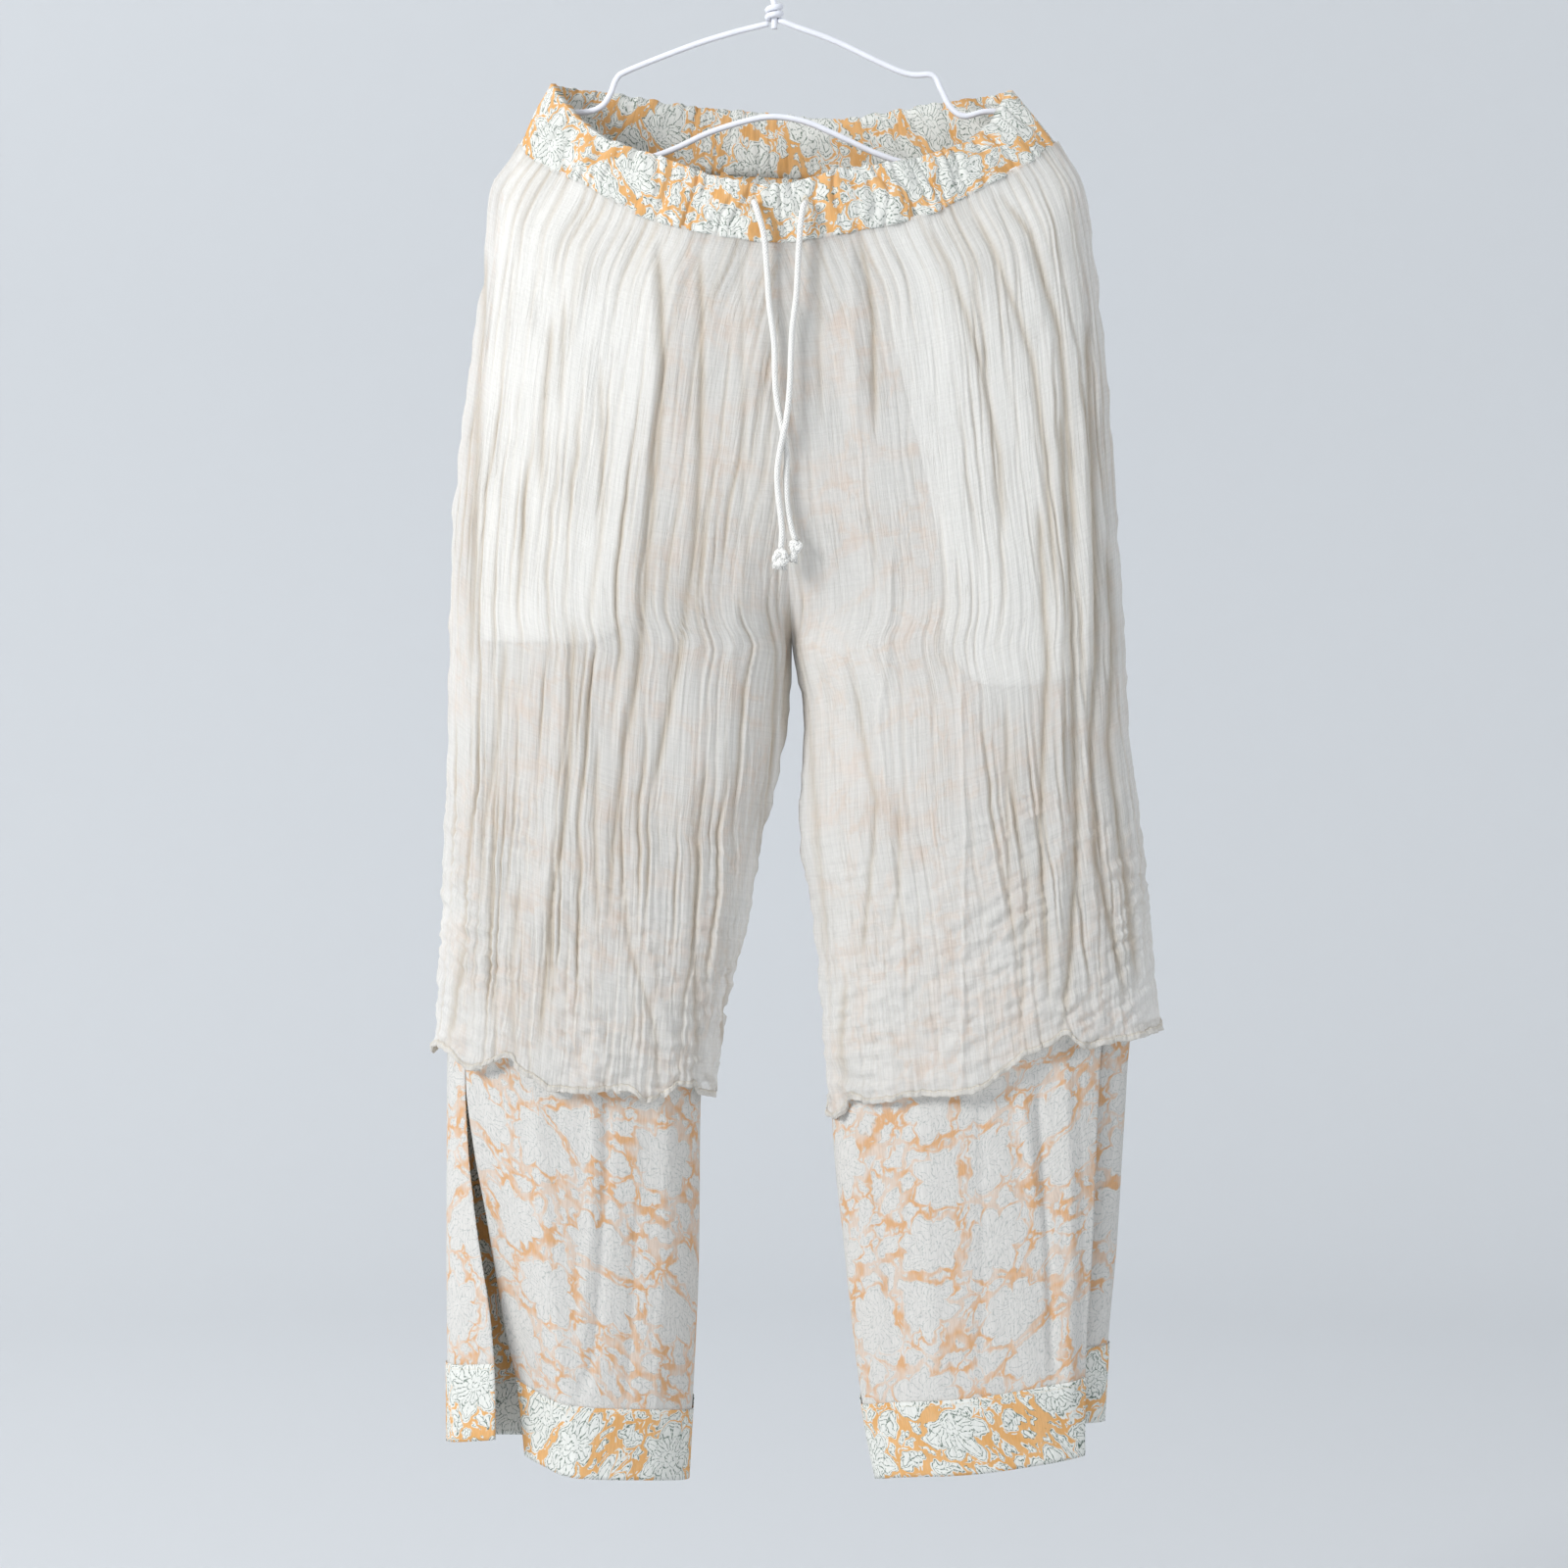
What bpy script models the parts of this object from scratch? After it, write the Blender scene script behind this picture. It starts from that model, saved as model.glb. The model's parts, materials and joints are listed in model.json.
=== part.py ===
"""Pleated trousers hung inside out on a coated wire hanger.

Outermost is a crinkled gauze layer to the shins. Under it hang the printed cotton legs,
wrong side out, with turned-up hems and side slits. Between the two are the pocket bags.
Metres, +Z up. The front faces -Y. The origin is the inner crown of the hanger's hook.
Left and right are as seen from the front. All tables and sizes below are in millimetres.
"""

import math
import random
from typing import NamedTuple

import bmesh
import bpy
import numpy as np
from mathutils import Vector

MM = 0.001
NAME = "pleated_trousers_on_hanger"

# Walls of the cloth, and the gaps that part the sewn pieces
GAUZE_WALL = 1.0
PRINT_WALL = 1.2
BAG_WALL = 1.2
BAND_WALL = 3.0
SEAM_GAP = 0.3
SEAM_SHARE = 0.0015
GAUZE_UNDER_BAND = 0.4
PRINT_UNDER_BAND = 1.0

# Where the front rise leaves the centre line, and where the legs part
GAUZE_RISE = (-330.0, -478.0)
PRINT_RISE = (-318.0, -466.0)

# How far below the waistband a panel takes up its own width
EASE_BELOW_BAND = 48.0
GAUZE_ON_BAND = 0.9
PRINT_ON_BAND = -0.8

HEM_TURN_UP = 47.5
LEG_LENGTH = 850.0
HANGER_WIRE = 4.0
CORD = 4.0


class Level(NamedTuple):
    """Widths and depths of both halves of a layer at one height."""

    z: float
    left_out: float
    left_in: float
    right_in: float
    right_out: float
    front: float
    back: float


GAUZE_LEVELS = (
    Level(-105, -150.0, 1.0, 1.0, 165.0, 47, 45),
    Level(-150, -168.5, 1.0, 1.0, 187.5, 49, 46),
    Level(-180, -187.0, 1.5, 1.5, 204.7, 50, 48),
    Level(-230, -192.5, 2.5, 2.5, 212.5, 51, 51),
    Level(-320, -205.0, 5.0, 5.0, 221.8, 53, 54),
    Level(-400, -213.0, 8.0, 8.0, 227.6, 54, 57),
    Level(-478, -215.0, 11.7, 11.7, 232.6, 54, 58),
    Level(-525, -216.0, 9.5, 19.5, 234.3, 53, 57),
    Level(-560, -216.5, 4.0, 18.5, 238.0, 52, 56),
    Level(-600, -218.0, -6.5, 16.5, 243.3, 52, 55),
    Level(-660, -220.0, -17.0, 26.0, 249.4, 52, 55),
    Level(-720, -223.0, -32.0, 31.3, 254.5, 54, 56),
    Level(-790, -231.0, -40.0, 36.5, 266.0, 56, 58),
)

PRINT_LEVELS = (
    Level(-105, -148.0, 1.0, 1.0, 163.0, 45, 43),
    Level(-150, -166.5, 1.0, 1.0, 185.0, 46, 43),
    Level(-180, -181.0, 1.5, 1.5, 198.5, 45, 43),
    Level(-230, -187.0, 2.5, 2.5, 207.0, 45, 44),
    Level(-320, -199.5, 5.0, 5.0, 216.0, 46, 46),
    Level(-400, -207.5, 8.0, 8.0, 222.0, 46, 48),
    Level(-466, -209.5, 11.5, 11.5, 226.5, 45, 48),
    Level(-525, -210.5, 3.0, 26.5, 228.5, 44, 47),
    Level(-560, -211.0, -2.5, 25.0, 231.5, 44, 46),
    Level(-600, -212.5, -13.5, 23.5, 235.5, 44, 46),
    Level(-660, -214.5, -24.5, 33.0, 238.5, 44, 45),
    Level(-720, -216.0, -40.0, 37.8, 237.0, 44, 44),
    Level(-752, -216.5, -46.5, 37.8, 233.8, 44, 44),
    Level(-790, -216.5, -49.0, 38.3, 231.5, 44, 43),
    Level(-880, -216.5, -49.8, 46.5, 226.0, 45, 43),
    Level(-950, -216.5, -52.5, 54.0, 220.5, 45, 43),
    Level(-1000, -216.5, -55.5, 61.5, 218.5, 45, 43),
    Level(-1035, -216.5, -57.4, 68.5, 218.0, 45, 43),
)


class BandRow(NamedTuple):
    """Edges of the waistband, by place across from left tip -1 to right tip 1."""

    place: float
    front_top: float
    front_bottom: float
    back_top: float
    back_bottom: float


BAND_ROWS = (
    BandRow(-1.00, -105.0, -149.5, -105.0, -149.5),
    BandRow(-0.90, -127.0, -166.5, -105.0, -151.0),
    BandRow(-0.75, -146.5, -178.5, -105.5, -153.0),
    BandRow(-0.50, -160.0, -203.5, -110.5, -158.0),
    BandRow(-0.25, -174.0, -214.5, -114.0, -161.0),
    BandRow(0.00, -179.0, -220.0, -117.0, -163.0),
    BandRow(0.25, -169.0, -213.5, -120.5, -166.0),
    BandRow(0.50, -163.0, -203.0, -116.0, -162.0),
    BandRow(0.75, -152.0, -179.0, -111.0, -156.0),
    BandRow(0.90, -136.0, -163.0, -110.0, -151.0),
    BandRow(1.00, -109.5, -148.2, -109.5, -148.2),
)


class BandEdge(NamedTuple):
    """Tips, centre and depths of one edge of the waistband, seen from above."""

    left: float
    centre: float
    right: float
    front: float
    back: float


BAND_TOP = BandEdge(-146.0, 2.0, 155.5, 46, 46)
BAND_BOTTOM = BandEdge(-168.4, 2.0, 187.2, 49, 46)
BAND_COLUMNS = 72
BAND_GATHER = 1.5
BAND_SWELL = 1.2
BAND_EDGE_GATHER = 0.55
BAND_FLAT_TIP = 0.05

# Hem heights, by place across a panel: 0 at the side seam, 1 at the inner edge
GAUZE_HEM = {
    ("left", "front"): (
        (0.00, -752), (0.10, -744), (0.20, -756), (0.30, -750), (0.45, -769),
        (0.60, -771), (0.75, -777), (0.87, -768), (1.00, -777),
    ),
    ("left", "back"): ((0.00, -752), (0.25, -758), (0.50, -767), (0.75, -771), (1.00, -777)),
    ("right", "front"): (
        (0.00, -731), (0.12, -737), (0.25, -743), (0.33, -737), (0.45, -748),
        (0.55, -761), (0.65, -771), (0.85, -777), (0.93, -775), (1.00, -788),
    ),
    ("right", "back"): ((0.00, -731), (0.25, -743), (0.50, -757), (0.75, -772), (1.00, -788)),
}
PRINT_HEM = {
    ("left", "front"): ((0.30, -1006), (0.40, -1016), (0.50, -1022), (0.80, -1026), (1.00, -1030)),
    ("left", "back"): ((-0.30, -998), (0.00, -1005), (0.50, -1012), (1.00, -1030)),
    ("right", "front"): ((0.15, -1010), (0.30, -1014), (0.55, -1020), (0.80, -1024), (1.00, -1030)),
    ("right", "back"): ((0.00, -991), (0.25, -1000), (0.60, -1014), (1.00, -1030)),
}


class Slit(NamedTuple):
    """Free edges of the printed legs at a height, as shares of the front from the side.

    The tucks are how far the front and the back edge lie inside the other panel.
    """

    z: float
    front_edge: float
    back_edge: float
    front_tuck: float
    back_tuck: float


SLITS = {
    "left": (
        Slit(-105, 0.000, 0.000, 0, 0), Slit(-320, 0.050, 0.050, 0, 0),
        Slit(-560, 0.120, 0.120, 0, 0), Slit(-700, 0.138, 0.138, 0, 0),
        Slit(-764, 0.143, 0.140, 0, 0), Slit(-806, 0.172, 0.152, 3, 0),
        Slit(-855, 0.222, 0.184, 9, 0), Slit(-928, 0.285, 0.247, 17, 0),
        Slit(-966, 0.330, 0.263, 21, 0), Slit(-1035, 0.375, 0.270, 26, 0),
    ),
    "right": (
        Slit(-105, 0.000, 0.000, 0, 0), Slit(-320, 0.050, 0.050, 0, 0),
        Slit(-560, 0.130, 0.130, 0, 0), Slit(-650, 0.148, 0.148, 0, 0),
        Slit(-700, 0.150, 0.145, 0, 2), Slit(-742, 0.150, 0.148, 0, 5),
        Slit(-800, 0.150, 0.165, 0, 7), Slit(-910, 0.155, 0.175, 0, 9),
        Slit(-1035, 0.165, 0.190, 0, 10),
    ),
}
TUCK_SHARE = 0.18


class Fold(NamedTuple):
    """A fold down a panel: shares across at its ends, its heights, half width and rise."""

    top: float
    bottom: float
    z_top: float
    z_bottom: float
    half_width: float
    rise: float


FOLDS = {
    ("gauze", "left", "front"): (
        Fold(0.74, 0.57, -225, -580, 0.026, -2.0), Fold(0.66, 0.58, -212, -540, 0.030, 2.8),
        Fold(0.40, 0.36, -240, -600, 0.035, 2.6), Fold(0.20, 0.22, -260, -700, 0.030, 2.4),
        Fold(0.84, 0.86, -560, -760, 0.030, 2.4), Fold(0.50, 0.55, -600, -760, 0.030, 2.2),
    ),
    ("gauze", "right", "front"): (
        Fold(0.73, 0.75, -215, -340, 0.022, -2.0), Fold(0.45, 0.26, -195, -510, 0.030, 2.8),
        Fold(0.16, 0.15, -280, -700, 0.022, 3.2), Fold(0.22, 0.21, -300, -690, 0.018, -2.0),
        Fold(0.32, 0.12, -480, -740, 0.026, 2.6), Fold(0.60, 0.62, -420, -700, 0.040, 1.8),
        Fold(0.88, 0.90, -540, -770, 0.030, 2.2),
    ),
    ("gauze", "left", "back"): (
        Fold(0.72, 0.60, -175, -600, 0.030, 2.6), Fold(0.48, 0.42, -190, -520, 0.030, -2.0),
        Fold(0.25, 0.24, -230, -700, 0.032, 2.6), Fold(0.84, 0.86, -520, -750, 0.030, 2.2),
    ),
    ("gauze", "right", "back"): (
        Fold(0.70, 0.62, -175, -560, 0.030, -2.0), Fold(0.55, 0.50, -180, -640, 0.032, 2.6),
        Fold(0.30, 0.20, -210, -690, 0.030, 2.8), Fold(0.86, 0.88, -540, -750, 0.030, 2.2),
    ),
    ("print", "left", "front"): (
        Fold(0.57, 0.55, -700, -985, 0.035, -3.2), Fold(0.66, 0.62, -720, -960, 0.050, 1.6),
    ),
    ("print", "right", "front"): (
        Fold(0.30, 0.30, -720, -1000, 0.045, 2.0), Fold(0.70, 0.66, -760, -960, 0.050, -1.8),
    ),
    ("print", "left", "back"): (
        Fold(0.55, 0.52, -700, -1000, 0.060, 2.2), Fold(0.25, 0.22, -740, -1000, 0.060, -2.0),
    ),
    ("print", "right", "back"): (
        Fold(0.62, 0.60, -700, -1000, 0.060, 2.2), Fold(0.35, 0.34, -740, -990, 0.060, -2.0),
    ),
}

# Crinkle pleats of the gauze: 22 to a panel, each a crest and a trough column
PLEATS = 22
PLEAT_CREST = (0.8, 2.3)
PLEAT_TROUGH = (0.6, 1.5)
PLEAT_GROWTH = 45.0
PLEAT_EDGE = 0.055
PLEAT_SEEDS = {
    ("left", "front"): 11,
    ("right", "front"): 23,
    ("left", "back"): 37,
    ("right", "back"): 41,
}
GAUZE_ROWS = (0.0, 0.03, 0.09, 0.24, 0.40, 0.49, 0.57, 0.70, 0.85, 1.0)
PRINT_COLUMNS = 16
FOLD_EDGE = 0.1
PRINT_ROWS = (0.0, 0.05, 0.13, 0.22, 0.30, 0.38, 0.44, 0.55, 0.68, 0.78, 0.87)


class BagEdge(NamedTuple):
    """Edges of the pocket bags, as shares of the printed front across and down.

    The inner edge goes by the share down a bag, the bottom by the share in from its side.
    """

    share: float
    left_inner: float
    left_bottom: float
    right_inner: float
    right_bottom: float


BAG_FIRST_COLUMN = 1
BAG_COLUMNS = 9
BAG_TOP = 0.045
BAG_OFF_PRINT = 2.0
BAG_LEAN = 5
BAG_EDGES = (
    BagEdge(0.0, 0.69, 0.374, 0.71, 0.396),
    BagEdge(0.3, 0.63, 0.368, 0.64, 0.395),
    BagEdge(0.6, 0.57, 0.357, 0.56, 0.388),
    BagEdge(0.8, 0.53, 0.342, 0.52, 0.378),
    BagEdge(1.0, 0.47, 0.318, 0.46, 0.356),
)

# Drawstring ends: places across and down, and how far each stands off the front
CORD_EXITS = {"left": (-13.2, -193.0), "right": (20.5, -193.5)}
CORD_ROUTES = {
    "left": (
        (-12.8, -56.2, -193.6), (-10.6, -58.8, -200.0), (-6.4, -58.2, -216.0),
        (-4.3, -57.6, -240.0), (-3.0, -57.8, -260.0), (0.1, -58.2, -285.0),
        (1.1, -58.6, -316.0), (5.0, -58.8, -338.0), (8.3, -58.9, -358.0),
        (8.0, -59.0, -371.0), (8.6, -59.2, -389.0), (11.0, -59.6, -404.0), (13.8, -60.0, -413.0),
    ),
    "right": (
        (20.1, -56.2, -194.0), (18.2, -58.8, -200.5), (16.2, -58.6, -221.0),
        (14.5, -58.4, -253.0), (11.7, -59.0, -278.0), (10.3, -60.8, -312.0),
        (8.0, -63.4, -335.0), (4.6, -63.6, -351.0), (2.2, -62.6, -367.0),
        (2.4, -61.6, -380.0), (4.2, -61.6, -396.0), (5.2, -62.0, -408.0), (4.4, -62.2, -419.0),
    ),
}
CORD_STEP = 10.0
CORD_GAP = 0.5


class Bulge(NamedTuple):
    """Radius of a knot and its frayed tip, by the length below the cord's end."""

    down: float
    radius: float


KNOTS = {
    "left": (
        Bulge(0.3, 1.9), Bulge(1.6, 3.6), Bulge(4.2, 4.6), Bulge(7.0, 4.1), Bulge(8.8, 2.6),
        Bulge(11.0, 2.9), Bulge(14.0, 3.9), Bulge(17.0, 3.3),
    ),
    "right": (
        Bulge(0.3, 1.9), Bulge(1.8, 4.4), Bulge(4.6, 6.2), Bulge(8.0, 6.6), Bulge(11.4, 6.0),
        Bulge(14.2, 4.4),
    ),
}
KNOT_SIDES = 12

# Hook: crown, neck and tip, in the plane of the hanger
HOOK_RADIUS = 20.0
HOOK_CENTRE = HANGER_WIRE / 2 - HOOK_RADIUS
HOOK_ARC = (218.0, -28.0)
HOOK_NECK = ((-10.0, -38.5), (-3.6, -44.5), (-0.4, -51.0), (0.0, -58.0))
SHANK_END = -70.0
HOOK_STEP = 4.5
FRAME_STEP = 12.0
TWIST_TURNS = 2.25
TWIST_PITCH = 4.6

# Frame wire from the left of the neck round to the right of it: across and up
FRAME_LEFT = (
    (-3.6, -66.4), (-28.0, -72.6), (-55.2, -81.2), (-96.0, -97.2), (-104.5, -103.0),
    (-108.6, -113.0), (-114.6, -121.4), (-124.6, -125.0), (-139.0, -125.4), (-150.6, -127.6),
    (-157.2, -133.6), (-157.4, -141.6), (-150.4, -149.4), (-134.0, -155.6), (-108.0, -158.2),
    (-86.0, -156.0), (-66.0, -149.4), (-42.3, -138.4), (-17.0, -130.6),
)
FRAME_RIGHT = (
    (0.6, -128.2), (21.4, -131.8), (46.8, -142.8), (68.0, -152.6), (88.0, -159.0),
    (112.0, -162.0), (146.0, -160.0), (166.0, -153.4), (173.6, -145.0), (173.0, -137.2),
    (164.6, -129.8), (152.0, -125.4), (139.6, -124.8), (126.0, -127.8), (117.0, -122.0),
    (110.6, -110.0), (104.6, -100.6), (85.2, -98.8), (40.3, -78.0), (14.0, -68.4),
)

# Colour, roughness and metallic value of each finish
FINISHES = {
    "gauze": ((0.84, 0.79, 0.71), 0.92),
    "print_back": ((0.80, 0.74, 0.66), 0.90),
    "print_face": ((0.82, 0.56, 0.33), 0.88),
    "bag": ((0.90, 0.88, 0.84), 0.90),
    "cord": ((0.93, 0.93, 0.91), 0.85),
    "coated_wire": ((0.82, 0.85, 0.92), 0.35),
}


class SmoothTable:
    """Smooth values between the rows of a table, with no overshoot."""

    def __init__(self, rows):
        table = np.array(sorted(tuple(row) for row in rows), float)
        self.keys, self.values = table[:, 0], table[:, 1:]
        steps = np.diff(self.keys)[:, None]
        rises = np.diff(self.values, axis=0) / steps
        self.slopes = np.vstack([rises[:1], rises[:1], rises[1:]])[: len(self.keys)]
        self.slopes[-1] = rises[-1]
        for i in range(1, len(self.keys) - 1):
            before, after = rises[i - 1], rises[i]
            mean = 2 * before * after / np.where(before + after == 0, 1, before + after)
            self.slopes[i] = np.where(before * after > 0, mean, 0)

    def __call__(self, key):
        key = min(max(key, self.keys[0]), self.keys[-1])
        i = min(int(np.searchsorted(self.keys, key, side="right")) - 1, len(self.keys) - 2)
        step = self.keys[i + 1] - self.keys[i]
        t = (key - self.keys[i]) / step
        start = (1 + 2 * t) * (1 - t) ** 2 * self.values[i] + t * (1 - t) ** 2 * step * self.slopes[i]
        end = t * t * (3 - 2 * t) * self.values[i + 1] - t * t * (1 - t) * step * self.slopes[i + 1]
        return start + end


def ease(value):
    """Smooth step from 0 to 1."""
    value = min(max(value, 0.0), 1.0)
    return value * value * (3 - 2 * value)


class Ring:
    """Part of an ellipse from the side seam inwards, read by the share of its length."""

    def __init__(self, out, inner, depth, sweep):
        self.out, self.depth = out, depth
        self.half = (inner - out) / (1 - math.cos(sweep))
        angles = np.linspace(0, sweep, 49)
        xs, ys = self.half * (1 - np.cos(angles)), depth * np.sin(angles)
        lengths = np.concatenate([[0], np.cumsum(np.hypot(np.diff(xs), np.diff(ys)))])
        self.angles, self.shares = angles, lengths / lengths[-1]

    def point(self, share):
        """Place across, and place outwards from the side seam's plane."""
        angle = float(np.interp(share, self.shares, self.angles))
        return self.out + self.half * (1 - math.cos(angle)), self.depth * math.sin(angle)


class Layer:
    """One cloth layer of the trousers, both sides: its levels, rise and wall."""

    def __init__(self, levels, rise, wall, on_band):
        self.levels = SmoothTable(levels)
        self.rise, self.wall, self.on_band = rise, wall, on_band

    def sweep(self, z):
        """Angle of the section's inner end: a quarter turn in the trunk, half in a leg."""
        down = (self.rise[0] - z) / (self.rise[0] - self.rise[1])
        return math.pi / 2 * (1 + min(max(down, 0.0), 1.0) ** 2)

    def ring(self, side, z, face):
        left_out, left_in, right_in, right_out, front, back = self.levels(z)
        out, inner, inward = (
            (left_out, left_in, 1) if side == "left" else (right_out, right_in, -1)
        )
        depth, sweep = (front if face == "front" else back), self.sweep(z)
        half = abs(inner - out) / (1 - math.cos(sweep))
        turn = abs(depth * math.cos(sweep))
        lean = turn / math.hypot(half * math.sin(sweep), turn)
        inset = SEAM_GAP / 2 + self.wall * 0.6 * lean
        return Ring(out, inner - inward * inset, depth, sweep)

    def point(self, side, place, z):
        """Point at a signed share across: negative on the front, positive on the back."""
        face = "front" if place < 0 else "back"
        x, y = self.ring(side, z, face).point(abs(place))
        return np.array([x, -y if face == "front" else y, z])

    def hung_point(self, side, place, z, top):
        """The same, drawn in to the waistband's lower edge near the top."""
        point = self.point(side, place, z)
        share = 1 - ease((top - z) / EASE_BELOW_BAND)
        if share > 0:
            seam = band_point(side, place, 1.0, self.on_band)
            point[:2] += share * (seam[:2] - self.point(side, place, top)[:2])
        return point


def band_point(side, place, down, outwards=0.0):
    """Point of the waistband: share from the tip, negative on the front, and share down."""
    face = "front" if place < 0 else "back"
    edges = []
    for edge, column in ((BAND_TOP, 0), (BAND_BOTTOM, 1)):
        out, grow = (edge.left, -outwards) if side == "left" else (edge.right, outwards)
        ring = Ring(out + grow, edge.centre, getattr(edge, face) + outwards, math.pi / 2)
        x, y = ring.point(abs(place))
        across = (x - edge.centre) / abs(out + grow - edge.centre)
        heights = BAND_EDGES(across)
        z = heights[column if face == "front" else column + 2]
        edges.append(np.array([x, -y if face == "front" else y, z]))
    return edges[0] + down * (edges[1] - edges[0])


BAND_EDGES = SmoothTable(BAND_ROWS)
GAUZE = Layer(GAUZE_LEVELS, GAUZE_RISE, GAUZE_WALL, GAUZE_ON_BAND)
PRINT = Layer(PRINT_LEVELS, PRINT_RISE, PRINT_WALL, PRINT_ON_BAND)
SLIT_EDGES = {side: SmoothTable(rows) for side, rows in SLITS.items()}


def outward_normals(points, face):
    """Unit normals of a grid of points, away from the body."""
    across, down = np.gradient(points, axis=1), np.gradient(points, axis=0)
    normals = np.cross(across, down)
    normals /= np.linalg.norm(normals, axis=2, keepdims=True)
    away = -1 if face == "front" else 1
    return normals * (1 if (normals[..., 1] * away).sum() > 0 else -1)


def fold_rise(folds, place, z):
    """How far the folds of a panel stand out at a share across and a height."""
    total = 0.0
    for fold in folds:
        along = (z - fold.z_top) / (fold.z_bottom - fold.z_top)
        if 0 < along < 1:
            middle = fold.top + (fold.bottom - fold.top) * along
            near = math.exp(-(((place - middle) / fold.half_width) ** 2))
            total += fold.rise * near * math.sin(math.pi * along) ** 0.5
    return total


def pleat_columns(seed):
    """Shares across, rises and fullest heights of a panel's pleats: troughs and crests."""
    draw = random.Random(seed)
    widths = [draw.uniform(0.7, 1.3) for _ in range(2 * PLEATS)]
    places = np.concatenate([[0], np.cumsum(widths)]) / sum(widths)
    rises = [
        draw.uniform(*PLEAT_CREST) if i % 2 else -draw.uniform(*PLEAT_TROUGH)
        for i in range(len(places))
    ]
    middles = [draw.uniform(0.15, 0.85) for _ in places]
    return places, rises, middles


def gauze_points(side, face):
    """Grid of the middle of a gauze panel, rows from the waistband down to the hem."""
    sign = -1 if face == "front" else 1
    hem = SmoothTable(GAUZE_HEM[side, face])
    places, rises, middles = pleat_columns(PLEAT_SEEDS[side, face])
    places = SEAM_SHARE + places * (1 - 2 * SEAM_SHARE)
    points = np.empty((len(GAUZE_ROWS), len(places), 3))
    lift = np.zeros(points.shape[:2])
    for i, place in enumerate(places):
        top = band_point(side, sign * place, 1.0)[2] - GAUZE_UNDER_BAND
        bottom = float(hem(place)[0])
        edge = ease(place / PLEAT_EDGE) * ease((1 - place) / PLEAT_EDGE)
        for j, row in enumerate(GAUZE_ROWS):
            z = top + row * (bottom - top)
            points[j, i] = GAUZE.hung_point(side, sign * place, z, top)
            grown = ease((top - z) / PLEAT_GROWTH)
            reach = 0.55 + 0.45 * math.cos(math.pi * min(abs(row - middles[i]) * 1.3, 1.0))
            folds = fold_rise(FOLDS["gauze", side, face], place, z)
            lift[j, i] = edge * grown * (rises[i] * reach + folds)
    return points + lift[..., None] * outward_normals(points, face)


def print_span(side, face, z):
    """Signed shares across where a printed panel starts, at the slit, and ends."""
    front_edge, back_edge, _, _ = SLIT_EDGES[side](z)
    if face == "front":
        return -front_edge - SEAM_SHARE, -1 + SEAM_SHARE
    return -back_edge + SEAM_SHARE, 1 - SEAM_SHARE


def print_point(side, face, across, row):
    """Point of a printed panel: share from the slit to the inner edge, and share down."""
    sign = -1 if face == "front" else 1
    hem = SmoothTable(PRINT_HEM[side, face])
    z = -600.0
    for _ in range(4):
        start, end = print_span(side, face, z)
        place = start + (end - start) * across
        top = band_point(side, place, 1.0)[2] - PRINT_UNDER_BAND
        z = top + row * (float(hem(sign * place)[0]) - top)
    point = PRINT.hung_point(side, place, z, top)
    _, _, front_tuck, back_tuck = SLIT_EDGES[side](z)
    tuck = front_tuck if face == "front" else back_tuck
    point[1] += tuck * (1 - ease(abs(place - start) / TUCK_SHARE))
    return point, sign * place


def print_shares():
    """Shares across a printed panel, closer together where it turns at its edges."""
    angles = np.linspace(0, math.pi, PRINT_COLUMNS + 1)
    return 0.45 * (1 - np.cos(angles)) / 2 + 0.55 * angles / math.pi


def print_rows():
    """Shares down a printed panel, the last three at its turned-up hem."""
    turn_up = 1 - HEM_TURN_UP / LEG_LENGTH
    return (*PRINT_ROWS, turn_up, (1 + turn_up) / 2, 1.0)


def print_points(side, face):
    """Grid of the middle of a printed panel."""
    rows, shares = print_rows(), print_shares()
    points = np.empty((len(rows), len(shares), 3))
    lift = np.zeros(points.shape[:2])
    for j, row in enumerate(rows):
        for i, share in enumerate(shares):
            points[j, i], place = print_point(side, face, share, row)
            edge = ease(share / FOLD_EDGE) * ease((1 - share) / FOLD_EDGE)
            lift[j, i] = edge * fold_rise(FOLDS["print", side, face], place, points[j, i, 2])
    return points + lift[..., None] * outward_normals(points, face)


def turn_up_points(points, face):
    """The lowest rows of a printed panel, moved out by a wall and a gap."""
    moved = points + (PRINT_WALL + SEAM_GAP) * outward_normals(points, face)
    return moved[-3:]


def bag_points(side, panel):
    """Grid of a pocket bag, from the points of the printed front, moved out."""
    rows, shares = print_rows(), print_shares()
    columns = shares[BAG_FIRST_COLUMN : BAG_FIRST_COLUMN + BAG_COLUMNS]
    edges = SmoothTable(BAG_EDGES)
    inner, bottom = ((0, 1) if side == "left" else (2, 3))
    shown = [row for row in rows if BAG_TOP < row < edges(1.0)[bottom]]
    points = np.empty((len(shown) + 2, BAG_COLUMNS, 3))
    for i, column in enumerate(columns):
        inward = i / (BAG_COLUMNS - 1)
        lowest = edges(inward)[bottom]
        for j, row in enumerate((BAG_TOP, *shown, lowest)):
            lean = edges((row - BAG_TOP) / (lowest - BAG_TOP))[inner] - columns[-1]
            across = column + lean * inward ** BAG_LEAN
            crossed = [[np.interp(across, shares, line[:, k]) for k in range(3)] for line in panel]
            points[j, i] = [np.interp(row, rows, line) for line in zip(*crossed)]
    return points + BAG_OFF_PRINT * outward_normals(points, "front")


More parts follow.
